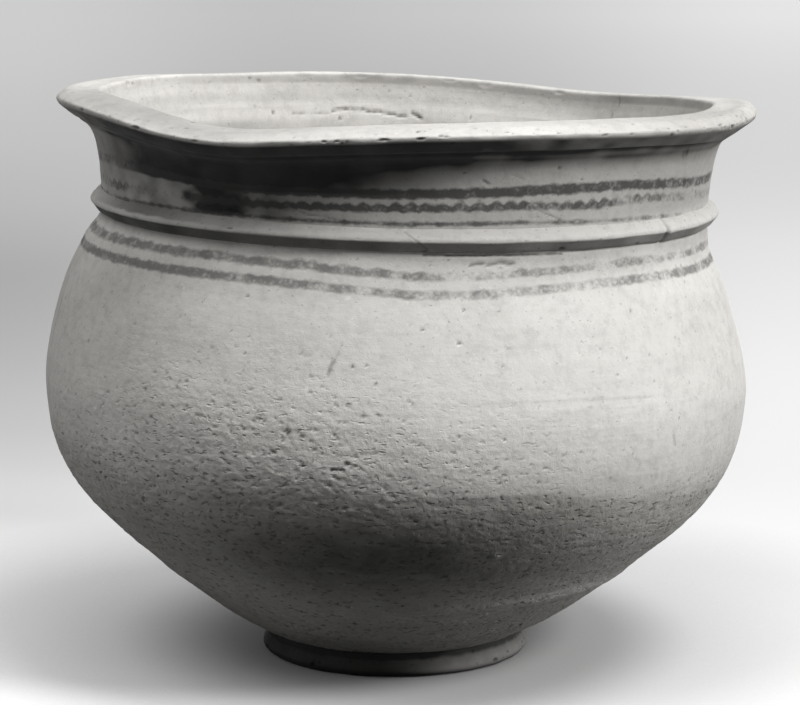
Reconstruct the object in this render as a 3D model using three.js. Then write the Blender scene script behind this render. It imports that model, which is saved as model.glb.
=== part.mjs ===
// A wide-mouthed storage jar of buff clay, built up in courses and finished on a turntable.
// It stands on a low ring foot, swells to a round belly, closes to a short neck with an
// applied cordon, and ends in a thick everted lip. Five bands of dark paint run round it.
// Millimetres, +Z up, front of the jar towards -Y, origin under the middle of the jar.
import * as THREE from "three";

// Ring foot and base. The groove is where the foot was luted to the wall
const grooveRadius = 57.8;
const footHeight = 10.5;
const footFlare = 2;
const footRingWidth = 12.3;
const footRestInset = 3;
const footEdgeRound = 2;
const baseInset = 1.8;
const baseRecess = 5.6;
const baseThickness = 8.6;

// Outer outline of the wall: a radius at each station, and its rise above the last one
const lowWallRadius = 76.8;
const lowWallRise = 10.5;
const ridgeRadius = 104.1;
const ridgeRise = 20.5;
const flankRadius = 132.5;
const flankRise = 25;
const upperFlankRadius = 145.5;
const upperFlankRise = 16.5;
const breakRadius = 152.7;
const breakRise = 17;
const bellyRadius = 155.1;
const bellyRise = 18;
const turningRadius = 153.6;
const turningRise = 19;
const shoulderRadius = 145.8;
const shoulderRise = 29;
const stripeSeatRadius = 138;
const stripeSeatRise = 18;
const waistRise = 11;
const neckRadius = 134;
const neckRise = 14;
const neckTopRise = 22;

// How far the neck is drawn in at its waist, and how far it opens towards the lip
const waistInset = 0.1;
const neckFlare = 3.4;

// Wall thickness, measured square to the surface, and the joins between courses
const wallThickness = 8.6;
const neckThickness = 8;
const joinSlant = 7;
const slipGap = 0.3;

// Lip, measured outwards and upwards from the top of the neck's outer face
const lipOverhang = 15.6;
const lipEdgeRise = 12.4;
const lipUndersideOut = 10.2;
const lipUndersideRise = 6.8;
const lipEdgeRound = 2.3;
const lipBevelWidth = 6;
const lipCrestRise = 3.6;
const lipTopWidth = 19;
const lipInnerRise = 4.4;
const lipMouthRound = 3.3;

// Cordon: an applied strip whose two ends meet at one place
const cordonDrop = 7.8;
const cordonHeight = 9.8;
const cordonCrestShare = 0.54;
const cordonStand = 4;
const cordonEdge = 0.7;
const cordonJoinDegrees = 322.5;
const cordonEndGapDegrees = 0.25;

// Paint bands: widths, the clear space to the next one, and how the paint lies
const paintThickness = 0.35;
const paintGap = 0.25;
const upperStripeDrop = 11;
const upperStripeWidth = 4.2;
const neckWaveRise = 7.7;
const neckWaveWidth = 2.9;
const lowerStripeRise = 1.6;
const lowerStripeWidth = 1.9;
const shoulderWaveDrop = 6.3;
const shoulderWaveWidth = 3.2;
const shoulderStripeDrop = 6.9;
const shoulderStripeWidth = 3.8;
const waveCount = 106;
const waveDepth = 0.9;

// How the soft clay settled before firing: the jar leans, and its lip sags and rises
const tiltDegrees = 1.4;
const footShift = 2.4;
const shoulderShift = -1.1;
const neckShift = 1.8;
const lipSwells = [
  { degrees: 205, spread: 14, rise: 1.6 },
  { degrees: 152, spread: 13, rise: 1.2 },
  { degrees: 298, spread: 24, rise: 1.6 },
  { degrees: 352, spread: 10, rise: 1.3 },
  { degrees: 241, spread: 15, rise: -6.3 },
  { degrees: 52, spread: 19, rise: -4.2 },
];
const bandDipDegrees = 278;
const bandDipSpread = 14;
const bandDipDepth = 2.8;

// How finely the round forms are divided
const turns = 60;
const stepsPerStation = 3;

const clayColour = "#c9c0b2";
const paintColour = "#3a322d";

// Radii and heights that follow from the sizes above
const footRadius = grooveRadius + footFlare;
const footInnerRadius = footRadius - footRingWidth;
const baseRadius = grooveRadius - baseInset;
const baseTop = baseRecess + baseThickness;
const waistRadius = neckRadius - waistInset;
const neckTopRadius = neckRadius + neckFlare;
const lowWallHeight = footHeight + lowWallRise;
const ridgeHeight = lowWallHeight + ridgeRise;
const flankHeight = ridgeHeight + flankRise;
const upperFlankHeight = flankHeight + upperFlankRise;
const breakHeight = upperFlankHeight + breakRise;
const bellyHeight = breakHeight + bellyRise;
const turningHeight = bellyHeight + turningRise;
const shoulderHeight = turningHeight + shoulderRise;
const stripeSeatHeight = shoulderHeight + stripeSeatRise;
const waistHeight = stripeSeatHeight + waistRise;
const neckHeight = waistHeight + neckRise;
const neckTopHeight = neckHeight + neckTopRise;
const lipRadius = neckTopRadius + lipOverhang;
const lipEdgeHeight = neckTopHeight + lipEdgeRise;
const lipInnerRadius = lipRadius - lipTopWidth;
const cordonCrestHeight = neckHeight - cordonDrop;
const cordonBottom = cordonCrestHeight - cordonHeight * cordonCrestShare;
const cordonTop = cordonBottom + cordonHeight;
const upperStripeHeight = neckTopHeight - upperStripeDrop;
const neckWaveHeight = cordonTop + neckWaveRise;
const lowerStripeHeight = cordonTop + lowerStripeRise;
const shoulderWaveHeight = cordonBottom - shoulderWaveDrop;
const shoulderStripeHeight = shoulderWaveHeight - shoulderStripeDrop;

// Spread of a dent or a lift round the jar, 1 at its middle
function hump(degrees, middle, spread) {
  const away = ((((degrees - middle) % 360) + 540) % 360) - 180;
  return Math.exp(-0.5 * (away / spread) ** 2);
}

// How far the lip stands above or below its true height
function lipSag(degrees) {
  const rises = lipSwells.map((swell) => swell.rise * hump(degrees, swell.degrees, swell.spread));
  return rises.reduce((sum, rise) => sum + rise, 0);
}

// Where a point of the true round form lies on the settled jar
function settle(x, y, z) {
  const degrees = THREE.MathUtils.radToDeg(Math.atan2(y, x));
  const tilt = Math.sin(THREE.MathUtils.degToRad(tiltDegrees));
  const leaning = THREE.MathUtils.smoothstep(z, footHeight, flankHeight);
  const shoulder = THREE.MathUtils.smoothstep(z, bellyHeight, shoulderHeight);
  const neck = THREE.MathUtils.smoothstep(z, stripeSeatHeight, waistHeight);
  const lip = THREE.MathUtils.smoothstep(z, neckHeight, lipEdgeHeight);
  const shift = footShift * (1 - leaning) + shoulderShift * shoulder + (neckShift - shoulderShift) * neck;
  return [x + shift + z * tilt, y, z - x * tilt * leaning + lipSag(degrees) * lip];
}

// The outer wall: a smooth curve through its stations, each a radius and a height
const stations = [
  new THREE.Vector2(grooveRadius, footHeight),
  new THREE.Vector2(lowWallRadius, lowWallHeight),
  new THREE.Vector2(ridgeRadius, ridgeHeight),
  new THREE.Vector2(flankRadius, flankHeight),
  new THREE.Vector2(upperFlankRadius, upperFlankHeight),
  new THREE.Vector2(breakRadius, breakHeight),
  new THREE.Vector2(bellyRadius, bellyHeight),
  new THREE.Vector2(turningRadius, turningHeight),
  new THREE.Vector2(shoulderRadius, shoulderHeight),
  new THREE.Vector2(stripeSeatRadius, stripeSeatHeight),
  new THREE.Vector2(waistRadius, waistHeight),
  new THREE.Vector2(neckRadius, neckHeight),
  new THREE.Vector2(neckTopRadius, neckTopHeight),
];
const outline = new THREE.SplineCurve(stations).getPoints((stations.length - 1) * stepsPerStation);

// Direction that leads square out of the clay, at each point of the outline
const outlineOutward = outline.map((_, k) => {
  const before = outline[Math.max(k - 1, 0)];
  const after = outline[Math.min(k + 1, outline.length - 1)];
  return new THREE.Vector2(after.y - before.y, before.x - after.x).normalize();
});

// Point of the outline at a height, with the direction that leads out of the clay
function wallAt(height) {
  let k = 1;
  while (k < outline.length - 1 && outline[k].y < height) {
    k += 1;
  }
  const below = outline[k - 1];
  const above = outline[k];
  const share = (height - below.y) / (above.y - below.y);
  const outward = outlineOutward[k - 1].clone().lerp(outlineOutward[k], share).normalize();
  return { point: below.clone().lerp(above, share), outward };
}

// Point inside the wall, a depth below the outer surface
function insideWall(height, depth) {
  const { point, outward } = wallAt(height);
  const inner = point.addScaledVector(outward, -depth);
  return [inner.x, inner.y];
}

// The inner face of a stretch of wall, from its top down, both ends included
function innerFace(high, low, steps, thickness) {
  const drop = (high - low) / steps;
  return Array.from({ length: steps + 1 }, (_, i) => insideWall(high - drop * i, thickness));
}

// The outline's own points between two heights, both ends included
function outerFace(low, high) {
  const between = outline.filter(({ y }) => y > low + slipGap && y < high - slipGap);
  return [insideWall(low, 0), ...between.map(({ x, y }) => [x, y]), insideWall(high, 0)];
}

// Closed section of a course of the wall. Its ends are slanted, so that each course laps
// over the inside of the one below it
function courseSection(low, high, innerSteps) {
  const inner = innerFace(high + joinSlant, low + joinSlant, innerSteps, wallThickness);
  return [...outerFace(low, high), ...inner];
}

// A solid swept round the axis. sectionAt gives the closed section at an angle, as
// [radius, height] points that run counter-clockwise. A section that touches the axis
// gives a disc. With two angles the sweep stays open and its ends are capped
function sweep(sectionAt, divisions = turns, fromDegrees = 0, toDegrees = 360) {
  const closed = toDegrees - fromDegrees >= 360;
  const rows = closed ? divisions : divisions + 1;
  const positions = [];
  const index = [];
  const ids = [];
  const onAxis = new Map();
  for (let i = 0; i < rows; i += 1) {
    const degrees = fromDegrees + ((toDegrees - fromDegrees) * i) / divisions;
    const angle = THREE.MathUtils.degToRad(degrees);
    ids.push(
      sectionAt(degrees).map(([radius, height], j) => {
        if (radius === 0 && onAxis.has(j)) {
          return onAxis.get(j);
        }
        positions.push(...settle(radius * Math.cos(angle), radius * Math.sin(angle), height));
        const id = positions.length / 3 - 1;
        if (radius === 0) {
          onAxis.set(j, id);
        }
        return id;
      }),
    );
  }
  const addFace = (a, b, c) => {
    if (a !== b && b !== c && c !== a) {
      index.push(a, b, c);
    }
  };
  const count = ids[0].length;
  for (let i = 0; i < (closed ? rows : rows - 1); i += 1) {
    const here = ids[i];
    const next = ids[(i + 1) % rows];
    for (let j = 0; j < count; j += 1) {
      const k = (j + 1) % count;
      addFace(here[j], next[j], next[k]);
      addFace(here[j], next[k], here[k]);
    }
  }
  if (!closed) {
    const first = ids[0];
    const last = ids[rows - 1];
    for (let j = 1; j < count - 1; j += 1) {
      addFace(first[0], first[j], first[j + 1]);
      addFace(last[0], last[j + 1], last[j]);
    }
  }
  const geometry = new THREE.BufferGeometry();
  geometry.setAttribute("position", new THREE.Float32BufferAttribute(positions, 3));
  geometry.setIndex(index);
  geometry.computeVertexNormals();
  return geometry;
}

const jar = new THREE.Group();

function addPiece(name, geometry, color, roughness) {
  const material = new THREE.MeshStandardMaterial({ color, roughness, metalness: 0 });
  const mesh = new THREE.Mesh(geometry, material);
  mesh.name = name;
  jar.add(mesh);
}

function addClay(name, section, divisions, fromDegrees, toDegrees) {
  const geometry = sweep(() => section, divisions, fromDegrees, toDegrees);
  addPiece(name, geometry, clayColour, 0.9);
}

// The ring that the jar stands on wraps the edge of the base disc. Its side leans in
// to the groove where it was luted to the wall
function footSection() {
  const underBase = baseRecess - slipGap;
  const besideBase = baseRadius + slipGap;
  const top = footHeight - slipGap;
  const round = (share) => footEdgeRound * share;
  return [
    [footRadius - footEdgeRound, 0],
    [footRadius - round(0.3), round(0.3)],
    [footRadius, footEdgeRound],
    [footRadius, footHeight / 2],
    [(footRadius + grooveRadius) / 2, (footHeight / 2 + top) / 2],
    [grooveRadius, top],
    [besideBase, top],
    [besideBase, underBase],
    [footInnerRadius, underBase],
    [footInnerRadius + footRestInset * 0.3, round(0.5)],
    [footInnerRadius + footRestInset, 0],
  ];
}

// The disc that closes the bottom. Its slanted edge carries the first course
function baseSection() {
  return [
    [0, baseRecess],
    [baseRadius, baseRecess],
    [baseRadius, footHeight - slipGap],
    [baseRadius - joinSlant, baseTop],
    [0, baseTop],
  ];
}

// The first course of the wall starts on the base disc
function lowerWallSection() {
  const inner = innerFace(ridgeHeight + joinSlant, lowWallHeight, 3, wallThickness);
  return [
    ...outerFace(footHeight, ridgeHeight),
    ...inner,
    [baseRadius - joinSlant + slipGap, baseTop + slipGap],
    [baseRadius + slipGap, footHeight],
  ];
}

// The neck starts behind the cordon and carries the lip
function neckSection() {
  const low = cordonCrestHeight + slipGap;
  const mouthFoot = insideWall(neckTopHeight - slipGap, neckThickness);
  const inner = innerFace(neckHeight + joinSlant, low + joinSlant, 1, neckThickness);
  return [...outerFace(low, neckTopHeight - slipGap), mouthFoot, ...inner];
}

// The lip is a thick coil folded outwards, with a broad top that slopes down to its edge
function lipSection() {
  const [neckInnerRadius, neckInnerHeight] = insideWall(neckTopHeight - slipGap, neckThickness);
  const crestHeight = lipEdgeHeight + lipCrestRise;
  const innerHeight = lipEdgeHeight + lipInnerRise;
  const edgeInset = lipEdgeRound * 0.45;
  return [
    [neckTopRadius, neckTopHeight],
    [neckTopRadius + lipUndersideOut, neckTopHeight + lipUndersideRise],
    [lipRadius - edgeInset, lipEdgeHeight - lipEdgeRound],
    [lipRadius, lipEdgeHeight],
    [lipRadius - edgeInset, lipEdgeHeight + lipEdgeRound * 0.75],
    [lipRadius - lipBevelWidth, crestHeight],
    [lipInnerRadius + lipMouthRound, innerHeight],
    [lipInnerRadius, innerHeight],
    [lipInnerRadius - lipMouthRound, innerHeight - lipMouthRound],
    [neckInnerRadius, neckInnerHeight + slipGap],
  ];
}

// The cordon is a pinched strip with its back against the wall. Each point is a height
// and how far the strip stands out there
function cordonSection() {
  const out = (height, stand) => insideWall(height, -slipGap - stand);
  const shoulderBelow = (cordonBottom + cordonCrestHeight) / 2;
  const shoulderAbove = (cordonTop + cordonCrestHeight) / 2;
  return [
    out(cordonBottom, cordonEdge),
    out(shoulderBelow, cordonStand * 0.72),
    out(cordonCrestHeight - cordonEdge, cordonStand),
    out(cordonCrestHeight + cordonEdge, cordonStand),
    out(shoulderAbove, cordonStand * 0.66),
    out(cordonTop, cordonEdge),
    out(cordonTop, 0),
    out(shoulderAbove, 0),
    out(cordonCrestHeight, 0),
    out(shoulderBelow, 0),
    out(cordonBottom, 0),
  ];
}

// Section of a band of paint that lies on the wall at the heights given, from the lowest up
function bandSection(heights) {
  const skin = heights.map((height) => insideWall(height, -paintGap - paintThickness));
  const back = heights.map((height) => insideWall(height, -paintGap));
  return [...skin, ...back.reverse()];
}

// The height inside a band at which the outline bends, kept a tenth of its width from its edges
function bendInside(low, high) {
  const middle = (low + high) / 2;
  const distances = outline.map(({ y }) => Math.abs(y - middle));
  const nearest = outline[distances.indexOf(Math.min(...distances))].y;
  const margin = (high - low) / 10;
  return THREE.MathUtils.clamp(nearest, low + margin, high - margin);
}

// A stripe bends with the wall
function addStripe(name, height, width, dip = 0) {
  const section = (degrees) => {
    const middle = height - dip * hump(degrees, bandDipDegrees, bandDipSpread);
    const low = middle - width / 2;
    const high = middle + width / 2;
    return bandSection([low, bendInside(low, high), high]);
  };
  addPiece(name, sweep(section), paintColour, 0.85);
}

// A wavy line goes up and down once for each wave, in two straight strokes
function addWavyLine(name, height, width, dip = 0) {
  const strokes = waveCount * 2;
  const section = (degrees) => {
    const stroke = Math.round((degrees / 360) * strokes);
    const up = stroke % 2 === 0 ? waveDepth : -waveDepth;
    const middle = height + up - dip * hump(degrees, bandDipDegrees, bandDipSpread);
    return bandSection([middle - width / 2, middle + width / 2]);
  };
  addPiece(name, sweep(section, strokes), paintColour, 0.85);
}

addClay("ring_foot", footSection());
addClay("base_disc", baseSection());
addClay("lower_wall_course", lowerWallSection());
addClay("flank_course", courseSection(ridgeHeight + slipGap, breakHeight, 4));
addClay("belly_course", courseSection(breakHeight + slipGap, turningHeight, 3));
addClay("shoulder_course", courseSection(turningHeight + slipGap, cordonCrestHeight, 5));
addClay(
  "neck_cordon",
  cordonSection(),
  turns,
  cordonJoinDegrees + cordonEndGapDegrees - 360,
  cordonJoinDegrees - cordonEndGapDegrees,
);
addClay("neck_wall", neckSection());
addClay("rim_coil", lipSection());

addStripe("neck_stripe_upper", upperStripeHeight, upperStripeWidth);
addWavyLine("neck_wavy_line", neckWaveHeight, neckWaveWidth);
addStripe("neck_stripe_lower", lowerStripeHeight, lowerStripeWidth);
addWavyLine("shoulder_wavy_line", shoulderWaveHeight, shoulderWaveWidth, bandDipDepth);
addStripe("shoulder_stripe", shoulderStripeHeight, shoulderStripeWidth, bandDipDepth);

// The origin is under the middle of the jar's greatest width and depth
const extent = new THREE.Box3().setFromObject(jar);
const middle = extent.getCenter(new THREE.Vector3());
jar.position.set(-middle.x, -middle.y, 0);

export default jar;
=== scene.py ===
"""A wide-mouthed jar of buff clay with worn bands of dark paint, on a low ring foot.

Every piece of clay is a closed mesh, swept round the jar's axis and then settled as the
soft clay settled: it leans, and its lip sags. Each band of paint is a thin film that
follows the clay below it. Lengths are in millimetres and become metres as points
are settled. Angles are in degrees round the axis, with the front of the jar at 270.
"""

import math

import bpy
import numpy as np
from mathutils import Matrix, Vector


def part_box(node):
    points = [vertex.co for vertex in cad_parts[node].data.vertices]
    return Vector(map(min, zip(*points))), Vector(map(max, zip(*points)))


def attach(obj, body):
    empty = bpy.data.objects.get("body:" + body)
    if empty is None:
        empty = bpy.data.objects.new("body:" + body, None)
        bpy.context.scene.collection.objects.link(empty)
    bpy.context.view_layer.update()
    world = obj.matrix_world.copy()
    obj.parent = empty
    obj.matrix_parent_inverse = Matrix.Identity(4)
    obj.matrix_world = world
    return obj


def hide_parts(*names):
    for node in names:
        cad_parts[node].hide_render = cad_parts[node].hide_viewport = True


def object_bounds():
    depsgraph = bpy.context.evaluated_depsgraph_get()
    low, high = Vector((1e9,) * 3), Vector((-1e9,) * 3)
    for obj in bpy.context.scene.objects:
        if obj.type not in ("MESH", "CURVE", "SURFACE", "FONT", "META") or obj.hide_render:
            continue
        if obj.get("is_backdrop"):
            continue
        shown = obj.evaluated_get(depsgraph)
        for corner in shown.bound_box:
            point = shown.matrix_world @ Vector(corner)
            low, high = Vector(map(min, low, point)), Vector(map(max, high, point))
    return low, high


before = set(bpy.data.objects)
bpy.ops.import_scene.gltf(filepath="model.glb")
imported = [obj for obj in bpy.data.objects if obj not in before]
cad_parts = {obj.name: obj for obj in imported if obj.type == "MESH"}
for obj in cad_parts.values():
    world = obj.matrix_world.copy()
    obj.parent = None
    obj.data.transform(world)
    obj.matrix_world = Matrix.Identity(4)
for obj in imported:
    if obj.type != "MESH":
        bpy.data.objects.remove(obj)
cad_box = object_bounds()

MM = 0.001
COLUMNS = 1000

# Ring foot and base
GROOVE_RADIUS, FOOT_RADIUS, FOOT_INNER_RADIUS, BASE_RADIUS = 57.8, 59.8, 47.5, 56.0
FOOT_HEIGHT, BASE_RECESS, BASE_TOP = 10.5, 5.6, 14.2
FOOT_EDGE_ROUND = 2.0

# Heights up the wall
LOW_WALL_HEIGHT, RIDGE_HEIGHT, FLANK_HEIGHT = 21.0, 41.5, 66.5
BREAK_HEIGHT, BELLY_HEIGHT, TURNING_HEIGHT = 100.0, 118.0, 137.0
SHOULDER_HEIGHT, SEAT_HEIGHT, WAIST_HEIGHT = 166.0, 184.0, 195.0
NECK_HEIGHT, NECK_TOP = 209.0, 231.0
NECK_TOP_RADIUS, WALL_THICKNESS, JOIN_SLANT = 138.6, 8.6, 7.0

# Stations of the wall's outer outline, each a radius and a height
STATIONS = [
    (GROOVE_RADIUS, FOOT_HEIGHT),
    (76.8, LOW_WALL_HEIGHT),
    (104.1, RIDGE_HEIGHT),
    (132.5, FLANK_HEIGHT),
    (145.5, 83.0),
    (152.7, BREAK_HEIGHT),
    (155.1, BELLY_HEIGHT),
    (153.6, TURNING_HEIGHT),
    (145.8, SHOULDER_HEIGHT),
    (138.0, SEAT_HEIGHT),
    (133.9, WAIST_HEIGHT),
    (134.0, NECK_HEIGHT),
    (135.5, 222.0),
    (NECK_TOP_RADIUS, NECK_TOP),
]

# Lip and cordon
LIP_RADIUS, LIP_EDGE_HEIGHT = 153.0, 243.4
LIP_CREASE = (144.2, 235.3)
CORDON_CREST, CORDON_BOTTOM, CORDON_TOP = 201.2, 195.9, 205.7
CORDON_JOIN = 322.5
LIP_PROUD = 0.06

# Radii at which the marks of a stretch are measured
BODY_RADIUS, CORDON_RADIUS, NICK_RADIUS, MOUTH_RADIUS = 149.0, 137.0, 132.0, 128.5

# How the soft clay settled
LEAN = math.sin(math.radians(1.4))
FOOT_SHIFT, SHOULDER_SHIFT, NECK_SHIFT = 2.4, -1.1, 1.8

# Where the lip swells or sags: the middle and the spread in degrees, and the rise
LIP_SWELLS = [
    (205, 14, 1.6),
    (152, 13, 1.2),
    (298, 24, 1.6),
    (352, 10, 1.3),
    (241, 15, -6.3),
    (250, 10, 1.3),
    (52, 19, -4.2),
]

# Where the bands on the shoulder dip: the middle and the spread in degrees, and how far
BAND_DIP_DEGREES, BAND_DIP_SPREAD, BAND_DIP = 278, 14, 2.8

# Bands of paint: height and width, how much a band waves, how far it dips, how dark it is, and,
# at angles round the jar, how much higher it lies and how worn it is
WAVES = 132
BANDS = {
    "neck_stripe_upper": {
        "height": 220.0, "width": 4.3, "wave": 0.0, "dip": 0.0, "dark": 0.88,
        "level": [
            (90, 0.0), (195, 0.8), (212, 1.2), (223, 0.2), (241, -1.2), (256, -1.1),
            (270, -0.6), (285, -0.3), (300, 0.7), (308, 1.0), (325, 0.0), (342, -1.4),
        ],
        "worn": [
            (90, 0.5), (195, 0.85), (212, 0.7), (222, 0.0), (285, 0.0), (300, 0.1),
            (325, 0.2), (350, 0.5),
        ],
    },
    "neck_wavy_line": {
        "height": 213.4, "width": 3.5, "wave": 0.85, "dip": 0.0, "dark": 0.86,
        "level": [
            (90, 0.0), (200, -2.4), (217, -2.0), (229, -1.5), (240, -1.4), (253, -0.8),
            (275, 0.4), (290, 0.7), (304, 0.3), (314, 1.4), (326, 0.8), (348, -1.7),
        ],
        "worn": [
            (90, 0.6), (196, 0.8), (206, 0.45), (213, 0.95), (226, 0.9), (230, 0.0),
            (262, 0.0), (300, 0.3), (318, 0.6), (335, 0.9),
        ],
    },
    "neck_stripe_lower": {
        "height": 207.3, "width": 1.9, "wave": 0.0, "dip": 0.0, "dark": 0.84,
        "level": [
            (90, 0.0), (200, -1.5), (218, -0.9), (251, -0.5), (274, 0.2), (290, 0.4),
            (317, -0.5), (340, -1.0),
        ],
        "worn": [
            (90, 0.6), (198, 0.5), (222, 0.1), (262, 0.1), (290, 0.35), (312, 0.6),
            (322, 0.85), (350, 1.0),
        ],
    },
    "shoulder_wavy_line": {
        "height": 189.6, "width": 3.8, "wave": 0.6, "dip": BAND_DIP, "dark": 0.70, "level": [(90, 0.0)],
        "worn": [
            (90, 0.5), (195, 0.4), (225, 0.2), (256, 0.25), (268, 0.5), (282, 0.75), (290, 0.5),
            (300, 0.55), (307, 0.8), (313, 0.45), (322, 1.0), (333, 0.5),
        ],
    },
    "shoulder_stripe": {
        "height": 182.7, "width": 4.1, "wave": 0.0, "dip": BAND_DIP, "dark": 0.70, "level": [(90, 0.0)],
        "worn": [
            (90, 0.4), (190, 0.2), (225, 0.1), (252, 0.3), (262, 0.5), (285, 0.65), (305, 0.75), (322, 0.5),
            (335, 0.4),
        ],
    },
}
FILM_PROUD, FILM_SUNK, FILM_MARGIN = 0.06, 0.3, 0.9

# Over how far the way that relief pushes the skin is blended, how far apart the rows of points
# inside the jar lie, and how far noise reaches
PUSH_REACH, INSIDE_STEP, NOISE_LENGTH = 1.8, 2.5, 420.0

# Shares of the map of a piece: how much of it is used, where that begins, and the edge of an
# arc. A film has its own, and its hidden faces lie at FILM_HIDDEN
MAP_USED, MAP_START, ARC_EDGE = 0.98, 0.01, 0.02
FILM_ARCS, FILM_ARC_EDGE, FILM_START, FILM_HIDDEN = 10, 0.05, 0.015, 0.004

DEGREES = np.arange(COLUMNS) * 360.0 / COLUMNS
foot_low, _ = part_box("ring_foot")
AXIS_X = foot_low.x / MM + FOOT_RADIUS - FOOT_SHIFT - FOOT_EDGE_ROUND * LEAN


def smoothstep(value, low, high):
    share = np.clip((value - low) / (high - low), 0.0, 1.0)
    return share * share * (3.0 - 2.0 * share)


def fading(value, low, high):
    """A smooth step down from 1 to 0."""
    return smoothstep(-value, -high, -low)


def away(degrees, middle):
    """Degrees from a middle, the short way round, from -180 to 180."""
    return (degrees - middle + 180.0) % 360.0 - 180.0


def arc_length(degrees, middle, radius):
    return away(degrees, middle) * math.pi / 180 * radius


def hump(degrees, middle, spread):
    return np.exp(-0.5 * (away(degrees, middle) / spread) ** 2)


def bell(value, middle, spread):
    return np.exp(-0.5 * ((value - middle) / spread) ** 2)


def settle(radius, degrees, height):
    """Where points of the true round jar lie on the settled one, in metres."""
    turn = np.radians(degrees)
    x = radius * np.cos(turn)
    y = radius * np.sin(turn)
    leaning = smoothstep(height, FOOT_HEIGHT, FLANK_HEIGHT)
    shoulder = smoothstep(height, BELLY_HEIGHT, SHOULDER_HEIGHT)
    neck = smoothstep(height, SEAT_HEIGHT, WAIST_HEIGHT)
    lip = smoothstep(height, NECK_HEIGHT, LIP_EDGE_HEIGHT)
    shift = FOOT_SHIFT * (1 - leaning) + SHOULDER_SHIFT * shoulder
    shift = shift + (NECK_SHIFT - SHOULDER_SHIFT) * neck
    sag = sum(rise * hump(degrees, middle, spread) for middle, spread, rise in LIP_SWELLS)
    settled_x = AXIS_X + x + shift + height * LEAN
    settled_z = height - x * LEAN * leaning + sag * lip
    return np.stack(np.broadcast_arrays(settled_x, y, settled_z), axis=-1) * MM


class Noise:
    """Smooth noise from -1 to 1 over distances along a run up to NOISE_LENGTH. It closes on
    itself round the jar."""

    def __init__(self, seed, cells_round, cell_length):
        rows = int(NOISE_LENGTH / cell_length) + 3
        self.cells_round, self.cell_length = cells_round, cell_length
        self.values = np.random.default_rng(seed).uniform(-1, 1, (rows, cells_round))

    def __call__(self, degrees, along):
        column = (degrees % 360.0) / 360.0 * self.cells_round
        row = np.clip(along / self.cell_length, 0, len(self.values) - 1.001)
        left = np.floor(column).astype(int)
        below = np.floor(row).astype(int)
        across = smoothstep(column - left, 0, 1)
        up = smoothstep(row - below, 0, 1)
        left = left % self.cells_round
        right = (left + 1) % self.cells_round
        low = self.values[below, left] * (1 - across) + self.values[below, right] * across
        high = self.values[below + 1, left] * (1 - across) + self.values[below + 1, right] * across
        return low * (1 - up) + high * up


def smooth_curve(points, steps, beyond):
    """A uniform Catmull-Rom curve through points, which leaves towards a point beyond them."""
    points = np.array(points, float)
    padded = np.vstack([points[:1], points, [beyond]])
    share = np.arange(steps)[:, None] / steps
    spans = []
    for before, start, end, after in zip(padded, padded[1:], padded[2:], padded[3:]):
        leave = (end - before) / 2
        reach = (after - start) / 2
        cubic = 2 * start - 2 * end + leave + reach
        square = -3 * start + 3 * end - 2 * leave - reach
        spans.append(cubic * share**3 + square * share**2 + leave * share + start)
    return np.vstack(spans + [points[-1:]])


def points_at(places, along, points):
    return np.column_stack([np.interp(places, along, points[:, axis]) for axis in range(2)])


def lengths_along(run):
    return np.concatenate([[0.0], np.cumsum(np.hypot(*np.diff(run, axis=0).T))])


def evenly(run, step):
    """The same run with points a step apart."""
    along = lengths_along(run)
    count = max(2, int(round(along[-1] / step)) + 1)
    places = np.linspace(0, along[-1], count)
    return points_at(places, along, run)


def rounded(corners, step):
    """A run through corners, each a radius, a height and how far from it its round begins."""
    steps = np.linspace(0, 1, 9)[:, None]
    places = np.array([corner[:2] for corner in corners], float)
    run = [places[:1]]
    for before, (radius, height, reach), after in zip(places, corners[1:-1], places[2:]):
        corner = np.array([radius, height])
        back = (before - corner) / np.linalg.norm(before - corner)
        ahead = (after - corner) / np.linalg.norm(after - corner)
        start = corner + back * reach
        end = corner + ahead * reach
        run.append(start * (1 - steps) ** 2 + 2 * corner * steps * (1 - steps) + end * steps**2)
    return evenly(np.vstack(run + [places[-1:]]), step)


def outward_of(run):
    along = np.gradient(run, axis=0)
    outward = np.column_stack([along[:, 1], -along[:, 0]])
    return outward / np.linalg.norm(outward, axis=1)[:, None]


OUTLINE = smooth_curve(STATIONS, 30, LIP_CREASE)
OUTLINE_OUT = outward_of(OUTLINE)
OUTLINE_ALONG = lengths_along(OUTLINE)


def along_at(height):
    """How far along the outline a height is."""
    return np.interp(height, OUTLINE[:, 1], OUTLINE_ALONG)


def wall_run(low, high, step, depth=0.0):
    """Points of the wall from one distance along its outline to another, a depth below its skin."""
    count = max(3, int(round(abs(high - low) / step)) + 1)
    places = np.linspace(low, high, count)
    spare = places[1] - places[0]
    places = np.concatenate([[low - spare], places, [high + spare]])
    points = points_at(places, OUTLINE_ALONG, OUTLINE)
    outward = points_at(places, OUTLINE_ALONG, OUTLINE_OUT)
    past = np.clip(places, 0, OUTLINE_ALONG[-1])
    points += (places - past)[:, None] * np.column_stack([-outward[:, 1], outward[:, 0]])
    return points - outward * depth, places


# The inside of the neck, which the lip's section runs into at the height of the neck's top
NECK_END = OUTLINE_ALONG[-1]
NECK_INSIDE, NECK_INSIDE_ALONG = wall_run(along_at(NECK_HEIGHT), NECK_END, 0.3, WALL_THICKNESS)


def neck_inside(height):
    """Radius of the lip's inner face, which stands a hair proud of the inside of the neck."""
    return float(np.interp(height, NECK_INSIDE[:, 1], NECK_INSIDE[:, 0])) - LIP_PROUD


def inside_along(height):
    """How far along the outline the inside of the neck has a height."""
    return float(np.interp(height, NECK_INSIDE[:, 1], NECK_INSIDE_ALONG))


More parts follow.
